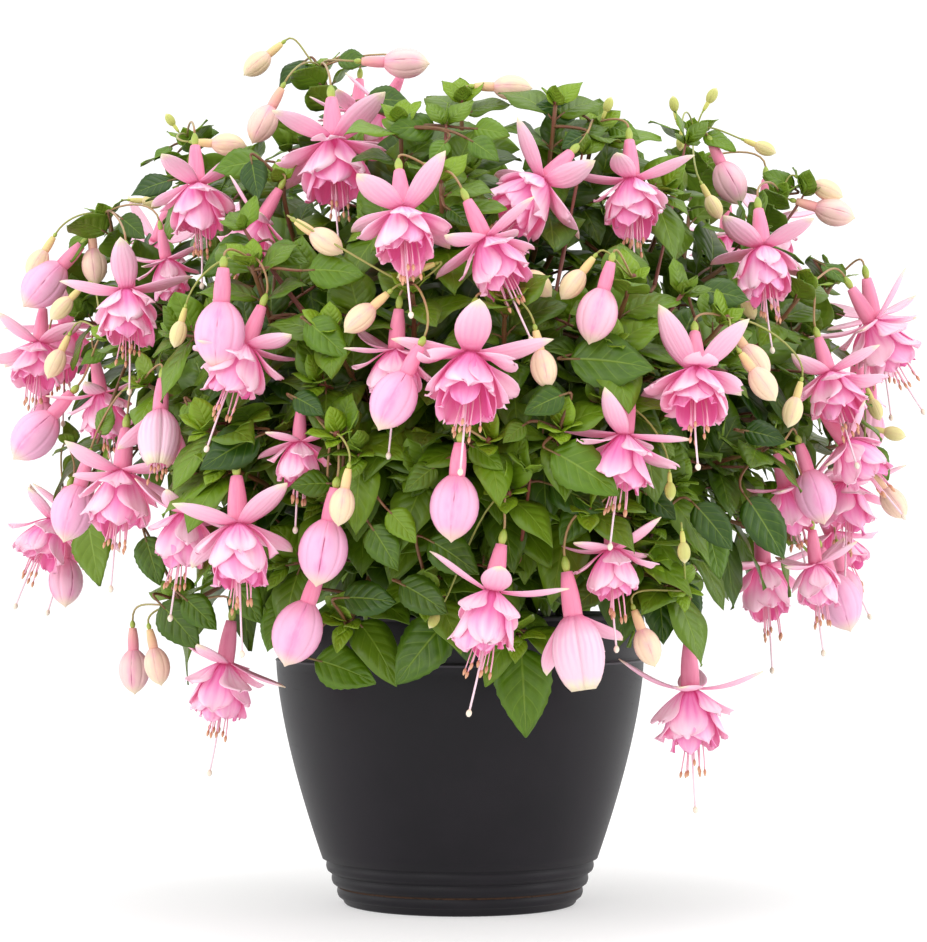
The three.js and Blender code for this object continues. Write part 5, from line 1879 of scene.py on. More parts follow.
class FlowerSprays:
    """All flowers and buds, each where the solids have it, and the room that each takes up."""

    BUD_BODY = ((7, 11), (17.5, 12.5), (29.75, 7))
    BUD_TUBE = (-9, 4)
    BLOOM_BODY = ((-14, 4), (2, 15), (12, 18), (22, 17))
    STYLE_BODY = ((38, 4), (46, 4), (55, 4), (64, 4))
    SEPAL_BODY = (20.0, 30.0)
    SEPAL_DEPTH = -3
    SEPAL_ROOM = 5
    BODY_SHARE = 0.8
    GREEN_SIZE = 0.3
    RIPE_SIZE = 0.95
    HUB = ((0.3, 1.6), (2.0, 2.0), (4.0, 1.8), (5.5, 1.0))

    def __init__(self, plant: Plant, found: NodePlaces, crowd: Crowd) -> None:
        """Finds every flower's neck in the frame and keeps the shapes.

        Args:
            plant: the plan of the plant.
            found: the search among the frame's points.
            crowd: what fills the canopy.
        """
        self.plant = plant
        self.crowd = crowd
        self.stalk = StalkSizes()
        self.bud = BudShape()
        self.sepal = SepalShape()
        self.petal = PetalShape()
        self.stamen = StamenShape()
        self.axes: dict[str, list[Axes]] = {}
        self.bodies: list[tuple[np.ndarray, np.ndarray, float]] = []
        for twig in plant.twigs:
            has = partial(found.has, f"spray_{twig.name}")
            self.axes[twig.name] = [self.find(item, twig.angle, has) for item in twig.items]

    def find(self, item: Item, angle: float, has: Callable[[np.ndarray], bool]) -> Axes:
        """Finds a flower or bud in the solids.

        Args:
            item: the flower or bud.
            angle: its twig's angle from the front.
            has: says whether the solids have its tip at a point.

        Returns:
            The axes that it has there.
        """
        is_bud = item.kind is Kind.BUD
        reach = self.bud.length * self.bud.shares[-1] if is_bud else self.stamen.tip(item.kind)
        for neck in item.places:
            axes = item.axes(neck, angle)
            if has(axes.below(reach * item.size)):
                return axes
        LOG.warning("no place found for the %s at %s", item.kind.value, item.at)
        return item.axes(item.places[0], angle)

    def note(self) -> None:
        """Tells the crowd where the flowers hang."""
        for twig in self.plant.twigs:
            for item, axes in zip(twig.items, self.axes[twig.name]):
                if item.kind is Kind.BUD:
                    self.note_balls(axes, item.size, self.BUD_BODY, 1)
                    self.note_balls(axes, item.size, [self.BUD_TUBE], 0)
                    continue
                self.note_balls(axes, item.size, self.BLOOM_BODY, self.BODY_SHARE)
                self.note_balls(axes, item.size, self.STYLE_BODY, 0)
                for k in range(4):
                    for radius in self.SEPAL_BODY:
                        point = axes.place(radius * item.size, QUARTER * k, self.SEPAL_DEPTH * item.size)
                        self.crowd.add_ball(point, self.SEPAL_ROOM * item.size)

    def note_balls(self, axes: Axes, size: float, balls: Sequence[Pixel], share: float) -> None:
        """Takes round parts of a flower in.

        Args:
            axes: the flower's axes.
            size: its size.
            balls: the depth below the neck and the radius of each part, at size 1.
            share: how much of the radius other flowers' sepals keep out of, 0 for none.
        """
        for depth, radius in balls:
            middle = axes.below(depth * size)
            self.crowd.add_ball(middle, radius * size)
            if share:
                self.bodies.append((axes.neck, middle, share * radius * size))

    def is_clear(self, points: np.ndarray, axes: Axes) -> bool:
        """Says whether points of a flower keep out of every other flower.

        Args:
            points: the points.
            axes: the flower's own axes.

        Returns:
            Whether all of them do.
        """
        for neck, middle, radius in self.bodies:
            if neck is not axes.neck and np.linalg.norm(points - middle, axis=1).min() < radius:
                return False
        return True

    def grow(self, twig: Twig) -> MeshWork:
        """Makes one spray.

        Args:
            twig: the twig that it hangs from.

        Returns:
            Its mesh.
        """
        work = MeshWork()
        hub = np.array(self.HUB)
        work.tube(twig.tip + twig.heading * hub[:, :1], hub[:, 1], 8, Finish.TWIG, tone=0.5, age=0.8)
        for i, (item, axes) in enumerate(zip(twig.items, self.axes[twig.name])):
            is_bud = item.kind is Kind.BUD
            ripe = float(np.interp(item.size, (self.GREEN_SIZE, self.RIPE_SIZE), (0, 1))) if is_bud else 1.0
            head = Head(work, item, axes, draw(twig.key, i, 81), ripe)
            self.stalk.grow(head, twig)
            if is_bud:
                self.bud.grow(head)
                continue
            for k in range(4):
                if item.kind is Kind.OPENING and k < self.sepal.closed:
                    self.sepal.grow_closed(head, self.bud, k)
                else:
                    self.sepal.grow(head, k, lambda points: self.is_clear(points, axes))
            self.petal.grow(head)
            self.stamen.grow(head)
        return work


@dataclass(frozen=True)
class PotShape:
    """The pot: a ringed foot, a wall that bellies out, a thin ledge and a rim band."""

    foot_radius: float = 72.5
    foot_round: float = 2.5
    rings: int = 3
    rings_from: float = 4
    ring_height: float = 8
    ring_growth: float = 3.4
    ring_swell: float = 0.6
    groove: float = 1.6
    groove_height: float = 0.6
    wall_from: float = 28
    wall_radius: float = 85.5
    shoulder: float = 151
    shoulder_radius: float = 114.5
    wall_power: float = 1.5
    ledge: float = 1.9
    ledge_rise: float = 1.2
    band_rise: float = 2.2
    band_radius: float = 115.6
    band_middle: float = 167
    band_top: float = 174
    height: float = 180
    lip_radius: float = 114
    wall: float = 3.2
    floor: float = 5
    sides: int = 112

    def wall_at(self, height: float) -> float:
        """Returns the outer radius of the wall at a height."""
        left = max(0, (self.shoulder - height) / (self.shoulder - self.wall_from))
        return self.shoulder_radius - (self.shoulder_radius - self.wall_radius) * left**self.wall_power

    def foot(self) -> list[Pixel]:
        """Works out the foot and its rings.

        Returns:
            Radius and height from the middle of the foot to the start of the wall.
        """
        rows = [(0, 0), (self.foot_radius - self.foot_round, 0)]
        for angle in np.radians((-60, -30, 0)):
            radius = self.foot_radius - self.foot_round * (1 - math.cos(angle))
            rows.append((radius, self.foot_round * (1 + math.sin(angle))))
        for k in range(self.rings):
            low = self.rings_from + k * self.ring_height
            deep = self.foot_radius + (k + 1) * self.ring_growth - self.groove
            rows += [(deep, low), (deep + self.groove * 0.1, low + self.groove_height)]
            low += 1.5 * self.groove_height
            rise = self.ring_height - 2.5 * self.groove_height
            for share in np.linspace(0, 1, 8):
                swell = (self.groove + self.ring_swell) * math.sin(math.pi * (0.12 + 0.76 * share)) ** 0.6
                rows.append((deep + swell, low + share * rise))
        return rows

    def rim(self) -> list[Pixel]:
        """Works out the shoulder, the ledge, the rim band and the lip.

        Returns:
            Radius and height from the top of the wall to the inner edge of the lip.
        """
        top, band = self.shoulder_radius, self.shoulder + self.band_rise
        inner = top - self.ledge
        rows = [
            (top + 0.45, self.shoulder),
            (top + 0.4, self.shoulder + 0.5),
            (top, self.shoulder + 1),
            (inner, self.shoulder + self.ledge_rise),
            (inner + 0.1, band),
        ]
        for share in np.linspace(0.15, 1, 8):
            radius = inner + (self.band_radius - inner) * math.sin(QUARTER * share)
            rows.append((radius, band + share * (self.band_middle - band)))
        return rows + [
            (self.lip_radius + 0.9, self.band_top),
            (self.lip_radius + 0.5, self.height - 1.2),
            (self.lip_radius - 0.2, self.height - 0.3),
            (self.lip_radius - 1.2, self.height),
            (self.lip_radius - self.wall + 1, self.height),
            (self.lip_radius - self.wall + 0.2, self.height - 0.6),
        ]

    def grow(self) -> MeshWork:
        """Makes the pot.

        Returns:
            Its mesh.
        """
        rows = self.foot()
        for height in np.linspace(self.wall_from + 0.6, self.shoulder - 0.5, 24):
            rows.append((self.wall_at(height), height))
        rows += self.rim()
        for height in np.linspace(self.height - 3, self.wall_from, 14):
            rows.append((self.wall_at(min(height, self.shoulder)) - self.wall, height))
        rows += [(self.foot_radius, self.floor + 2), (self.foot_radius - 3, self.floor), (0, self.floor)]
        work = MeshWork()
        work.lathe(np.array(rows, float), self.sides, Finish.POT)
        return work


@dataclass(frozen=True)
class SoilShape:
    """The compost: an uneven surface with crumbs on it."""

    top: float = 163
    radius: float = 110.2
    low_radius: float = 74
    bottom: float = 8
    side_from: Pixel = (77, 12)
    side_to: Pixel = (103, 140)
    shoulder: float = 6
    dip: float = 2.2
    rings: int = 26
    sides: int = 72
    bumps: float = 1.6
    bump_range: Pixel = (-1.6, 1.8)
    crumbs: int = 260
    crumb_size: float = 1.2
    crumb_growth: float = 2.6
    crumb_lift: float = 0.3
    crumb_half: float = 1.3
    crumb_swell: tuple[float, ...] = (0.35, 0.75, 0.7, 0.3)
    hole: float = 9.6

    def grow(self) -> MeshWork:
        """Makes the compost.

        Returns:
            Its mesh.
        """
        work = MeshWork()
        rows = [(0, self.bottom), (self.low_radius, self.bottom)]
        rows += np.linspace(self.side_from, self.side_to, 5).tolist()
        rows.append((self.radius, self.top - self.shoulder))
        rows += [(self.radius * (1 - share), self.top - self.dip) for share in np.linspace(0, 1, self.rings)]
        work.lathe(np.array(rows, float), self.sides, Finish.SOIL)
        x, y, z = work.points[0].T
        flat = np.hypot(x, y)
        bump = np.sin(x * 0.31 + 2 * np.sin(y * 0.17)) + np.sin(y * 0.37 + 2 * np.sin(x * 0.23))
        bump = bump + np.sin(9 * np.arctan2(y, x) + flat * 0.4)
        is_top = (z > self.top - 4) & (flat < self.radius - 1)
        z += np.where(is_top, np.clip(bump * self.bumps / 3, *self.bump_range), 0)
        for k in range(self.crumbs):
            self.grow_crumb(work, k)
        return work

    def grow_crumb(self, work: MeshWork, k: int) -> None:
        """Adds a crumb of bark or peat.

        Args:
            work: the mesh that gets it.
            k: the crumb's number.
        """
        reach = self.hole + 4 + (self.radius - self.hole - 9) * math.sqrt(draw(k, 91))
        size = self.crumb_size + self.crumb_growth * draw(k, 93) ** 2
        way = unit(np.array([spread(1, k, 94), spread(1, k, 95), spread(0.35, k, 96)]))
        middle = turned(RIGHT, -FRONT, 2 * math.pi * draw(k, 92)) * reach
        middle = middle + UP * (self.top - self.dip + self.crumb_lift * size)
        path = middle + way * (size * self.crumb_half * np.linspace(-1, 1, 4))[:, None]
        work.tube(path, size * np.array(self.crumb_swell), 5, Finish.SOIL, tone=draw(k, 97))


Paint = tuple[float, float, float]
Varying = "Signal | Paint | float"


def paint(red: int, green: int, blue: int) -> Paint:
    """Returns the linear values of a colour given as it looks on a screen."""
    shares = (value / 255 for value in (red, green, blue))
    return tuple(s / 12.92 if s <= 0.04045 else ((s + 0.055) / 1.055) ** 2.4 for s in shares)


def glow(strength: float) -> dict[str, Varying]:
    """Returns a painted rosy glow, as settings of the shader, that stands in for the light a thin petal lets
    through.
    """
    return {"Emission_Color": (1.0, 0.14, 0.32), "Emission_Strength": strength}


def operator(operation: str, is_reflected: bool = False) -> Callable[..., "Signal"]:
    """Makes an operator for signals.

    Args:
        operation: the name of the sum, as the nodes have it.
        is_reflected: whether the signal stands on the right.

    Returns:
        The operator's method.
    """

    def method(self: "Signal", other: Varying = 0.0) -> "Signal":
        """Works the sum out in a node."""
        return self.combine(operation, *((other, self) if is_reflected else (self, other)))

    return method


class Signal:
    """A socket of a material's nodes that takes part in sums, as a number would."""

    def __init__(self, graph: "Graph", socket: bpy.types.NodeSocket) -> None:
        """Keeps the nodes that the socket belongs to."""
        self.graph = graph
        self.socket = socket

    def combine(self, operation: str, first: Varying, second: Varying) -> "Signal":
        """Works two values out in the node that suits their types.

        Args:
            operation: the name of the sum.
            first: its first value.
            second: its second value.

        Returns:
            The result.
        """
        types = {value.socket.type for value in (first, second) if isinstance(value, Signal)}
        if "RGBA" in types:
            return self.graph.mix(1.0, first, second, operation)
        kind = "ShaderNodeVectorMath" if "VECTOR" in types else "ShaderNodeMath"
        return self.graph.node(kind, {"operation": operation}, {0: first, 1: second})

    __add__ = operator("ADD")
    __radd__ = operator("ADD", is_reflected=True)
    __sub__ = operator("SUBTRACT")
    __rsub__ = operator("SUBTRACT", is_reflected=True)
    __mul__ = operator("MULTIPLY")
    __rmul__ = operator("MULTIPLY", is_reflected=True)
    __truediv__ = operator("DIVIDE")
    __pow__ = operator("POWER")
    __abs__ = operator("ABSOLUTE")
    fraction = operator("FRACT")
    wave = operator("SINE")

    def ease(self, low: float, high: float) -> "Signal":
        """Returns 0 at low, 1 at high and an eased share between."""
        inputs = {"Value": self, "From Min": low, "From Max": high}
        return self.graph.node("ShaderNodeMapRange", {"interpolation_type": "SMOOTHSTEP"}, inputs)


class Graph:
    """The nodes of one material, with its shader."""

    def __init__(self, name: str) -> None:
        """Starts a material with the usual shader.

        Args:
            name: the material's name.
        """
        self.material = bpy.data.materials.new(name)
        self.material.use_nodes = True
        self.tree = self.material.node_tree
        self.shader = self.tree.nodes["Principled BSDF"]

    def node(
        self,
        kind: str,
        settings: dict[str, Any] | None = None,
        inputs: dict[int | str, Varying] | None = None,
        output: int | str = 0,
    ) -> Signal:
        """Adds any node.

        Args:
            kind: the node's type.
            settings: its own settings, which are set first; stops are those of a colour ramp.
            inputs: values or signals for its sockets.
            output: the socket that is wanted.

        Returns:
            That socket.
        """
        node = self.tree.nodes.new(kind)
        for name, value in (settings or {}).items():
            if name == "stops":
                self.set_stops(node.color_ramp, value)
            else:
                setattr(node, name, value)
        for name, value in (inputs or {}).items():
            self.feed(node.inputs[name], value)
        return Signal(self, node.outputs[output])

    def set_stops(self, ramp: bpy.types.ColorRamp, stops: Sequence[tuple[float, Paint]]) -> None:
        """Gives a ramp its stops.

        Args:
            ramp: the ramp.
            stops: each stop's position and colour.
        """
        while len(ramp.elements) < len(stops):
            ramp.elements.new(1.0)
        for element, (position, colour) in zip(ramp.elements, stops):
            element.position = position
            element.color = (*colour, 1.0)

    def feed(self, socket: bpy.types.NodeSocket, value: Varying) -> None:
        """Links a signal to a socket, or gives it a plain value of its own type.

        Args:
            socket: the socket.
            value: the signal or the value.
        """
        if isinstance(value, Signal):
            self.tree.links.new(value.socket, socket)
        elif socket.type in ("RGBA", "VECTOR"):
            triple = value if isinstance(value, tuple) else (value, value, value)
            socket.default_value = (*triple, 1.0) if socket.type == "RGBA" else triple
        else:
            socket.default_value = value

    def mix(self, factor: Varying, first: Varying, second: Varying, blend: str = "MIX") -> Signal:
        """Returns a blend of two colours."""
        settings = {"data_type": "RGBA", "blend_type": blend}
        return self.node("ShaderNodeMix", settings, {0: factor, 6: first, 7: second}, output=2)

    def fields(self, *names: str) -> list[Signal]:
        """Returns some of the mesh's own point fields."""
        return [self.node("ShaderNodeAttribute", {"attribute_name": name}, output="Fac") for name in names]

    def place(self) -> Signal:
        """Returns the place on the object, in metres."""
        return self.node("ShaderNodeTexCoord", output="Object")

    def noise(self, place: Signal, scale: float, detail: float = 2.0) -> Signal:
        """Returns soft noise from 0 to 1."""
        return self.node("ShaderNodeTexNoise", {}, {"Vector": place, "Scale": scale, "Detail": detail})

    def streaks(self, across: float, along: float, detail: float, scale: float = 1.0) -> Signal:
        """Makes noise that follows the mesh's own ways across and along, and differs with its tone.

        Args:
            across: how often it changes across.
            along: how often it changes along.
            detail: how fine it is.
            scale: how much finer it is both ways.

        Returns:
            The noise, from 0 to 1.
        """
        x, y, z = self.fields("across", "along", "tone")
        inputs = {"X": x * across, "Y": y * along, "Z": z * 40.0}
        return self.noise(self.node("ShaderNodeCombineXYZ", inputs=inputs), scale, detail)

    def ramp(self, value: Signal, stops: Sequence[tuple[float, Paint]]) -> Signal:
        """Returns a colour that runs through stops."""
        return self.node("ShaderNodeValToRGB", {"stops": stops}, {"Fac": value})

    def finish(
        self,
        colour: Signal,
        roughness: Varying,
        height: Signal | None = None,
        relief: tuple[float, float] = (0.3, 0.001),
        **fixed: Varying,
    ) -> bpy.types.Material:
        """Feeds the shader.

        Args:
            colour: the base colour.
            roughness: the roughness.
            height: what the relief follows, if there is one.
            relief: its strength and its depth in metres.
            fixed: the shader's other sockets, with _ for a space, each one value.

        Returns:
            The material.
        """
        sockets = self.shader.inputs
        self.feed(sockets["Base Color"], colour)
        self.feed(sockets["Roughness"], roughness)
        for name, value in fixed.items():
            self.feed(sockets[name.replace("_", " ")], value)
        if height is not None:
            inputs = {"Height": height, "Strength": relief[0], "Distance": relief[1]}
            self.feed(sockets["Normal"], self.node("ShaderNodeBump", {}, inputs))
        return self.material


@dataclass(frozen=True)
class PotFinish:
    """Charcoal plastic with a satin skin and faint handling marks, and painted highlight lines at the ledge
    and the lip.
    """

    colour: Paint = paint(20, 18, 23)
    worn: Paint = paint(33, 29, 35)
    # edge is the colour of the painted highlight lines at the ledge and the lip; the bands below give their
    # heights in metres.
    edge: Paint = paint(66, 62, 68)
    highlight_bands: tuple[tuple[float, float], ...] = ((0.1508, 0.1522), (0.1775, 0.1796))
    fade: float = 0.0007
    roughness: float = 0.4
    relief: tuple[float, float] = (0.14, 0.0004)
    shine: float = 0.22

    def make(self, graph: Graph) -> bpy.types.Material:
        """Makes the material.

        Args:
            graph: its nodes.

        Returns:
            The material.
        """
        place = graph.place()
        cloud = graph.noise(place, 22.0, 4.0)
        grain = graph.noise(place, 1900.0, 3.0)
        marks = graph.noise(place * (60.0, 60.0, 700.0), 1.6, 3.0).ease(0.62, 0.78)
        colour = graph.mix(cloud.ease(0.35, 0.7) * 0.35 + marks * 0.18, self.colour, self.worn)
        height = graph.node("ShaderNodeSeparateXYZ", {}, {"Vector": place}, output="Z")
        # Painted highlight: a lighter colour in thin bands at the ledge and the lip, where their rounded
        # edges would catch the light.
        for low, high in self.highlight_bands:
            line = height.ease(low - self.fade, low) * (1 - height.ease(high, high + self.fade))
            colour = graph.mix(line, colour, self.edge)
        rough = self.roughness + cloud * 0.12 + marks * 0.12
        return graph.finish(colour, rough, grain, self.relief, Specular_IOR_Level=self.shine)


@dataclass(frozen=True)
class SoilFinish:
    """Dark peaty compost with paler fibres."""

    dark: Paint = paint(38, 27, 21)
    middle: Paint = paint(74, 53, 39)
    pale: Paint = paint(128, 98, 70)
    roughness: float = 0.9
    relief: tuple[float, float] = (0.8, 0.0012)
    shine: float = 0.2

    def make(self, graph: Graph) -> bpy.types.Material:
        """Makes the material.

        Args:
            graph: its nodes.

        Returns:
            The material.
        """
        place = graph.place()
        (tone,) = graph.fields("tone")
        lumps = graph.noise(place, 260.0, 6.0)
        fibres = graph.noise(place * (1.0, 6.0, 2.0), 210.0, 3.0)
        stops = ((0.3, self.dark), (0.52, self.middle), (0.62, self.dark), (0.78, self.pale))
        colour = graph.ramp(lumps * 0.7 + fibres * 0.3 + tone * 0.12, stops)
        height = lumps + fibres * 0.5
        return graph.finish(colour, self.roughness, height, self.relief, Specular_IOR_Level=self.shine)


@dataclass(frozen=True)
class BarkFinish:
    """Smooth red-brown bark that flakes along the stem."""

    dark: Paint = paint(84, 50, 36)
    middle: Paint = paint(128, 82, 58)
    pale: Paint = paint(176, 138, 104)
    roughness: float = 0.72
    relief: tuple[float, float] = (0.6, 0.0009)

    def make(self, graph: Graph) -> bpy.types.Material:
        """Makes the material.

        Args:
            graph: its nodes.

        Returns:
            The material.
        """
        streaks = graph.streaks(26.0, 7.0, 5.0)
        colour = graph.ramp(streaks, ((0.25, self.dark), (0.5, self.middle), (0.75, self.pale)))
        return graph.finish(colour, self.roughness, streaks, self.relief)


@dataclass(frozen=True)
class StemFinish:
    """A smooth young stem, flushed on one side."""

    first: Paint
    second: Paint
    roughness: float = 0.42
    flush: float = 0.5
    relief: tuple[float, float] = (0.25, 0.0004)

    def make(self, graph: Graph) -> bpy.types.Material:
        """Makes the material.

        Args:
            graph: its nodes.

        Returns:
            The material.
        """
        streaks = graph.streaks(6.0, 9.0, 3.0)
        (age,) = graph.fields("age")
        share = (streaks * 0.9 + age * 0.5 - 0.2 * self.flush).ease(0.2, 0.85)
        colour = graph.mix(share, self.first, self.second)
        return graph.finish(colour, self.roughness + streaks * 0.1, streaks, self.relief)


@dataclass(frozen=True)
class LeafFinish:
    """A green blade with fine paler veins, paler below and yellow-green while young."""

    dark: Paint = paint(36, 68, 6)
    middle: Paint = paint(86, 120, 10)
    young: Paint = paint(128, 158, 28)
    vein: Paint = paint(136, 162, 54)
    below: Paint = paint(116, 146, 48)
    pairs: float = 5.6
    lean: float = 1.7
    roughness: float = 0.3
    relief: tuple[float, float] = (0.35, 0.0008)
    shine: float = 0.36

    def make(self, graph: Graph) -> bpy.types.Material:
        """Makes the material.

        Args:
            graph: its nodes.

        Returns:
            The material.
        """
        across, along, tone, age, under = graph.fields("across", "along", "tone", "age", "under")
        side = abs(across)
        from_vein = abs((along * self.pairs - side * self.lean + 0.5).fraction() - 0.5)
        fade = 1 - side.ease(0.55, 0.95)
        lines = (1 - from_vein.ease(0.01, 0.07)) * fade
        midrib = 1 - (side + along * 0.03).ease(0.02, 0.075)
        veins = graph.node("ShaderNodeMath", {"operation": "MAXIMUM"}, {0: lines * 0.45, 1: midrib})
        mottle = graph.streaks(3.0, 4.0, 3.0, 1.4)
        green = graph.mix((mottle * 0.6 + tone * 0.9 - 0.3).ease(0.0, 1.0), self.dark, self.middle)
        green = graph.mix(age, green, self.young)
        green = graph.mix(veins * 0.45, green, self.vein)
        colour = graph.mix(under * 0.65, green, self.below)
        quilt = from_vein.ease(0.0, 0.4) * fade - midrib * 0.8 + mottle * 0.5
        rough = self.roughness + mottle * 0.2
        return graph.finish(colour, rough, quilt, self.relief, Specular_IOR_Level=self.shine)


@dataclass(frozen=True)
class SepalFinish:
    """A pale waxy sepal: rosy at its root, whitish green at its tip and deeper below."""

    root: Paint = paint(224, 134, 170)
    pale: Paint = paint(226, 196, 210)
    tip: Paint = paint(222, 220, 184)
    line: Paint = paint(224, 156, 190)
    below: Paint = paint(226, 160, 186)
    roughness: float = 0.46
    relief: tuple[float, float] = (0.25, 0.0006)
    shine: float = 0.3
    # light sets the strength of the painted rosy glow.
    light: float = 0.13

    def make(self, graph: Graph) -> bpy.types.Material:
        """Makes the material.

        Args:
            graph: its nodes.

        Returns:
            The material.
        """
        along, across, under = graph.fields("along", "across", "under")
        cloud = graph.streaks(2.0, 3.0, 2.0)
        stops = ((0.0, self.root), (0.3, self.pale), (0.82, self.pale), (0.98, self.tip))
        colour = graph.ramp(along + cloud * 0.2 - 0.1, stops)
        lines = abs((abs(across) * 3.0 + cloud * 0.8).fraction() - 0.5).ease(0.05, 0.35)
        colour = graph.mix((1 - lines) * (1 - along.ease(0.4, 0.85)) * 0.4, colour, self.line)
        colour = graph.mix((1 - under) * (1 - along.ease(0.5, 1.0)) * 0.45, colour, self.below)
        looks = {"Specular_IOR_Level": self.shine, **glow(self.light)}
        return graph.finish(colour, self.roughness + cloud * 0.12, lines + cloud * 0.8, self.relief, **looks)


@dataclass(frozen=True)
class PetalFinish:
    """A thin petal: deep rose at its root and in the middle of the flower, paler at its rounded edge."""

    inner: Paint = paint(206, 46, 136)
    deep: Paint = paint(206, 66, 152)
    middle: Paint = paint(220, 146, 192)
    pale: Paint = paint(230, 204, 216)
    roughness: float = 0.5
    relief: tuple[float, float] = (0.25, 0.0006)
    shine: float = 0.25
    # light sets the strength of the painted rosy glow.
    light: float = 0.18

    def make(self, graph: Graph) -> bpy.types.Material:
        """Makes the material.

        Args:
            graph: its nodes.

        Returns:
            The material.
        """
        along, across, tone, ring, under = graph.fields("along", "across", "tone", "age", "under")
        streaks = graph.streaks(2.6, 1.2, 2.0)
        share = along * 0.55 + streaks * 0.5 + ring * 0.42 + tone * 0.14 - 0.36
        skin = graph.ramp(share, ((0.06, self.deep), (0.4, self.middle), (0.72, self.pale)))
        veins = ((across * 13.0 + streaks * 3.0).wave() * 0.5 + 0.5) ** 3.0
        colour = graph.mix(veins * (1 - along.ease(0.3, 0.9)) * 0.35, skin, self.deep)
        colour = graph.mix((1 - under) * (1 - ring * 0.8) * 0.6, colour, self.inner)
        looks = {"Specular_IOR_Level": self.shine, **glow(self.light)}
        height = veins * 0.4 + streaks
        return graph.finish(colour, self.roughness + streaks * 0.12, height, self.relief, **looks)


@dataclass(frozen=True)
class BudFinish:
    """A closed bud, from yellow-green through cream to pink, with dark slits between its sepals: the deeper
    pink of the petals inside, with painted shade in the gap.
    """

    green: Paint = paint(176, 186, 92)
    yellow: Paint = paint(224, 214, 156)
    cream: Paint = paint(232, 208, 180)
    pink: Paint = paint(232, 176, 206)
    root: Paint = paint(226, 136, 166)
    blush: Paint = paint(224, 128, 180)
    shaded_slit: Paint = paint(150, 50, 92)
    point: Paint = paint(226, 220, 178)
    roughness: float = 0.36
    relief: tuple[float, float] = (0.35, 0.0008)
    shine: float = 0.35
    # light sets the strength of the painted rosy glow.
    light: float = 0.06

    def make(self, graph: Graph) -> bpy.types.Material:
        """Makes the material.

        Args:
            graph: its nodes.

        Returns:
            The material.
        """
        along, across, ripe = graph.fields("along", "across", "age")
        cloud = graph.streaks(3.0, 4.0, 3.0)
        stops = ((0.0, self.green), (0.28, self.yellow), (0.55, self.cream), (1.0, self.pink))
        skin = graph.mix((1 - along.ease(0.0, 0.3)) * ripe * 0.6, graph.ramp(ripe, stops), self.root)
        flush = across.ease(0.35, 0.95) * (cloud * 1.5).ease(0.4, 1.1) * ripe
        skin = graph.mix(flush * 0.7, skin, self.blush)
        skin = graph.mix(along.ease(0.72, 1.0) * 0.75, skin, self.point)
        # Dark slits along some seams: the petals inside where the sepals part, darkened with painted shade
        # in the gap.
        patch = graph.streaks(0.8, 2.2, 2.0).ease(0.5, 0.62)
        dark = across.ease(0.93, 1.0) * ripe.ease(0.3, 0.9) * patch * (1 - along.ease(0.7, 0.85))
        colour = graph.mix(dark, skin, self.shaded_slit)
        height = cloud * 0.6 - across.ease(0.88, 1.0)
        looks = {"Specular_IOR_Level": self.shine, **glow(self.light)}
        return graph.finish(colour, self.roughness + cloud * 0.14, height, self.relief, **looks)


@dataclass(frozen=True)
class TubeFinish:
    """The tube above the sepals: cream-green on young buds, rosy on ripe ones and on flowers."""

    young: Paint = paint(184, 196, 92)
    cream: Paint = paint(222, 200, 136)
    rosy: Paint = paint(228, 140, 168)
    deep: Paint = paint(216, 108, 146)
    roughness: float = 0.38
    relief: tuple[float, float] = (0.2, 0.0004)
    shine: float = 0.35
    # light sets the strength of the painted rosy glow.
    light: float = 0.08

    def make(self, graph: Graph) -> bpy.types.Material:
        """Makes the material.

        Args:
            graph: its nodes.

        Returns:
            The material.
        """
        along, ripe = graph.fields("along", "age")
        streaks = graph.streaks(9.0, 2.0, 3.0)
        stops = ((0.0, self.young), (0.45, self.cream), (0.85, self.rosy))
        skin = graph.ramp(ripe + along * 0.12 - 0.06, stops)
        colour = graph.mix(streaks.ease(0.4, 0.75) * ripe.ease(0.5, 1.0) * 0.55, skin, self.deep)
        looks = {"Specular_IOR_Level": self.shine, **glow(self.light)}
        return graph.finish(colour, self.roughness + streaks * 0.12, streaks, self.relief, **looks)


@dataclass(frozen=True)
class WaxFinish:
    """The smooth skin of a flower's small parts, in two near colours."""

    first: Paint
    second: Paint
    roughness: float = 0.4
    grain: float = 3.0
    relief: tuple[float, float] = (0.2, 0.0004)

    def make(self, graph: Graph) -> bpy.types.Material:
        """Makes the material.

        Args:
            graph: its nodes.

        Returns:
            The material.
        """
        cloud = graph.streaks(self.grain, self.grain, 3.0, 1.5)
        (along,) = graph.fields("along")
        colour = graph.mix((along * 0.7 + cloud * 0.6 - 0.15).ease(0.0, 1.0), self.first, self.second)
        return graph.finish(colour, self.roughness + cloud * 0.12, cloud, self.relief)


FINISHES = {
    Finish.POT: PotFinish(),
    Finish.SOIL: SoilFinish(),
    Finish.BARK: BarkFinish(),
    Finish.TWIG: StemFinish(paint(116, 96, 52), paint(118, 58, 46)),
    Finish.LEAF: LeafFinish(),
    Finish.STALK: StemFinish(paint(152, 158, 78), paint(168, 116, 92), 0.38, 1.6),
    Finish.OVARY: WaxFinish(paint(140, 162, 58), paint(178, 190, 92), 0.36),
    Finish.TUBE: TubeFinish(),
    Finish.SEPAL: SepalFinish(),
    Finish.PETAL: PetalFinish(),
    Finish.BUD: BudFinish(),
    Finish.FILAMENT: WaxFinish(paint(236, 138, 172), paint(240, 176, 196), 0.4),
    Finish.ANTHER: WaxFinish(paint(186, 116, 92), paint(222, 172, 136), 0.7, 12.0),
    Finish.STYLE: WaxFinish(paint(238, 180, 204), paint(240, 212, 220), 0.36),
    Finish.STIGMA: WaxFinish(paint(228, 208, 186), paint(238, 226, 210), 0.5),
}


@dataclass(frozen=True)
class SoftBox:
    """A soft lamp: where it stands, its width and height in metres and its power in watts."""

    name: str
    place: Sequence[float]
    width: float
    height: float
    power: float


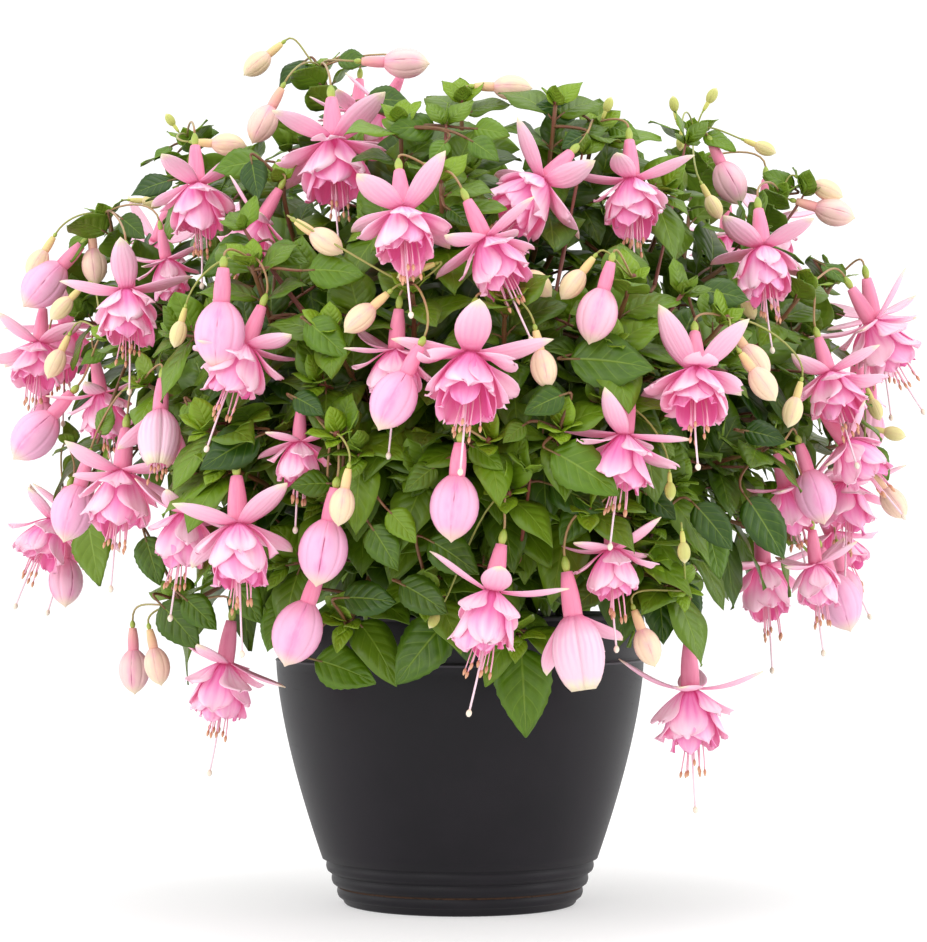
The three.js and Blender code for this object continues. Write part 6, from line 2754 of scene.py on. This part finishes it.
def aimed(
    name: str, data: bpy.types.ID, place: Sequence[float], target: Sequence[float]
) -> bpy.types.Object:
    """Puts up a lamp or a camera.

    Args:
        name: its name.
        data: the lamp or the camera.
        place: where it stands, in metres.
        target: the point that it faces.

    Returns:
        Its object, linked to the scene.
    """
    tool = bpy.data.objects.new(name, data)
    tool.location = place
    tool.rotation_mode = "QUATERNION"
    tool.rotation_quaternion = (Vector(target) - tool.location).to_track_quat("-Z", "Y")
    bpy.context.collection.objects.link(tool)
    return tool


@dataclass(frozen=True)
class Studio:
    """A white studio with soft lamps, and the camera at the photograph's place."""

    view: View = View()
    sensor: float = 36
    floor_size: float = 40
    floor_glow: float = 0.4
    floor_roughness: float = 0.85
    floor_shine: float = 0.1
    background: float = 1.15
    lamps: tuple[SoftBox, ...] = (
        SoftBox("lamp_front", (-0.9, -2.2, 1.5), 1.6, 1.6, 16),
        SoftBox("lamp_top", (0.2, -0.2, 2.2), 1.8, 1.8, 14),
        SoftBox("lamp_left", (-1.9, -0.2, 0.5), 0.9, 1.8, 9),
        SoftBox("lamp_right", (1.9, -0.3, 0.6), 0.9, 1.8, 12),
    )

    def build(self) -> None:
        """Makes the floor, the white surroundings, the lamps and the camera."""
        self.build_floor()
        self.build_surroundings()
        for lamp in self.lamps:
            self.build_lamp(lamp)
        self.build_camera()

    def build_floor(self) -> None:
        """Makes the plain pale floor."""
        half = self.floor_size / 2
        mesh = bpy.data.meshes.new("floor")
        corners = [(-half, -half, 0), (half, -half, 0), (half, half, 0), (-half, half, 0)]
        mesh.from_pydata(corners, [], [(0, 1, 2, 3)])
        floor = bpy.data.objects.new("floor", mesh)
        bpy.context.collection.objects.link(floor)
        graph = Graph("white_floor")
        cloud = graph.noise(graph.place(), 3.0)
        colour = graph.mix(cloud * 0.3, paint(208, 208, 208), paint(205, 205, 205))
        looks = {"Emission_Color": (1.0, 1.0, 1.0), "Emission_Strength": self.floor_glow}
        looks["Specular_IOR_Level"] = self.floor_shine
        mesh.materials.append(graph.finish(colour, self.floor_roughness, **looks))

    def build_surroundings(self) -> None:
        """Makes the white light from all round."""
        world = bpy.data.worlds.new("white_room")
        world.use_nodes = True
        shade = world.node_tree.nodes["Background"]
        shade.inputs["Color"].default_value = (1, 1, 1, 1)
        shade.inputs["Strength"].default_value = self.background
        bpy.context.scene.world = world
        bpy.context.scene.view_settings.view_transform = "Standard"

    def build_lamp(self, lamp: SoftBox) -> None:
        """Makes one lamp, which faces the middle of the plant.

        Args:
            lamp: its place, sizes and power.
        """
        data = bpy.data.lights.new(lamp.name, "AREA")
        data.shape = "RECTANGLE"
        data.size = lamp.width
        data.size_y = lamp.height
        data.energy = lamp.power
        aimed(lamp.name, data, lamp.place, UP * Canopy().centre * MM)

    def build_camera(self) -> None:
        """Makes the camera, which looks at the middle of the photograph's frame."""
        view = self.view
        data = bpy.data.cameras.new("camera")
        data.sensor_width = self.sensor
        data.lens = self.sensor * view.distance / (view.height * view.mm_per_pixel)
        place = FRONT * view.distance + UP * view.eye_height
        target = view.at_depth((view.width / 2, view.height / 2), 0.0)
        bpy.context.scene.camera = aimed("camera", data, place * MM, target * MM)


class PottedFuchsia:
    """The whole plant in its pot, dressed over the frame's solids."""

    CROWN_RADIUS = 8.6

    def __init__(self, nodes: dict[str, bpy.types.Object]) -> None:
        """Plans the plant and makes the materials.

        Args:
            nodes: the frame's solids by name.
        """
        self.canopy = Canopy()
        self.plant = Plant(self.canopy, Routes(), RearSpray())
        self.found = NodePlaces(nodes)
        self.materials = {finish: look.make(Graph(finish.value)) for finish, look in FINISHES.items()}
        for node in nodes.values():
            node.data.materials.clear()
            node.data.materials.append(self.materials[Finish.LEAF])

    def place(self, work: MeshWork, name: str, node: str, slot: str) -> None:
        """Makes a piece that stands for a node of the frame.

        Args:
            work: the piece's mesh.
            name: its name.
            node: the node's name.
            slot: what the piece is made of; not used.
        """
        piece = work.build(name, self.materials)
        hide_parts(node)
        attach(piece, "root")
        LOG.info("%s: %d triangles", name, sum(len(face) - 2 for face in work.faces))

    def build(self) -> None:
        """Builds all pieces, from the pot up."""
        self.place(PotShape().grow(), "dressed_pot", "pot", "pot")
        self.place(SoilShape().grow(), "dressed_soil", "soil", "soil")
        crowd = Crowd(self.canopy)
        sprays = FlowerSprays(self.plant, self.found, crowd)
        sprays.note()
        foliage = Foliage(self.plant, self.found, crowd)
        self.place(foliage.grow_wood(self.CROWN_RADIUS), "dressed_wood", "woody_stems", "wood")
        foliage.grow_all()
        for shoot, work in foliage.works.items():
            node = f"shoot_{shoot:02d}"
            self.place(work, f"leafy_{node}", node, "leaf")
        for twig in self.plant.twigs:
            if twig.items:
                self.place(sprays.grow(twig), f"flowers_{twig.name}", f"spray_{twig.name}", "flower")


def main() -> None:
    """Loads the frame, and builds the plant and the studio."""
    logging.basicConfig(level=logging.INFO, format="%(message)s")
    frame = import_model()
    PottedFuchsia(frame["nodes"]).build()
    Studio().build()


if __name__ == "__main__":
    main()
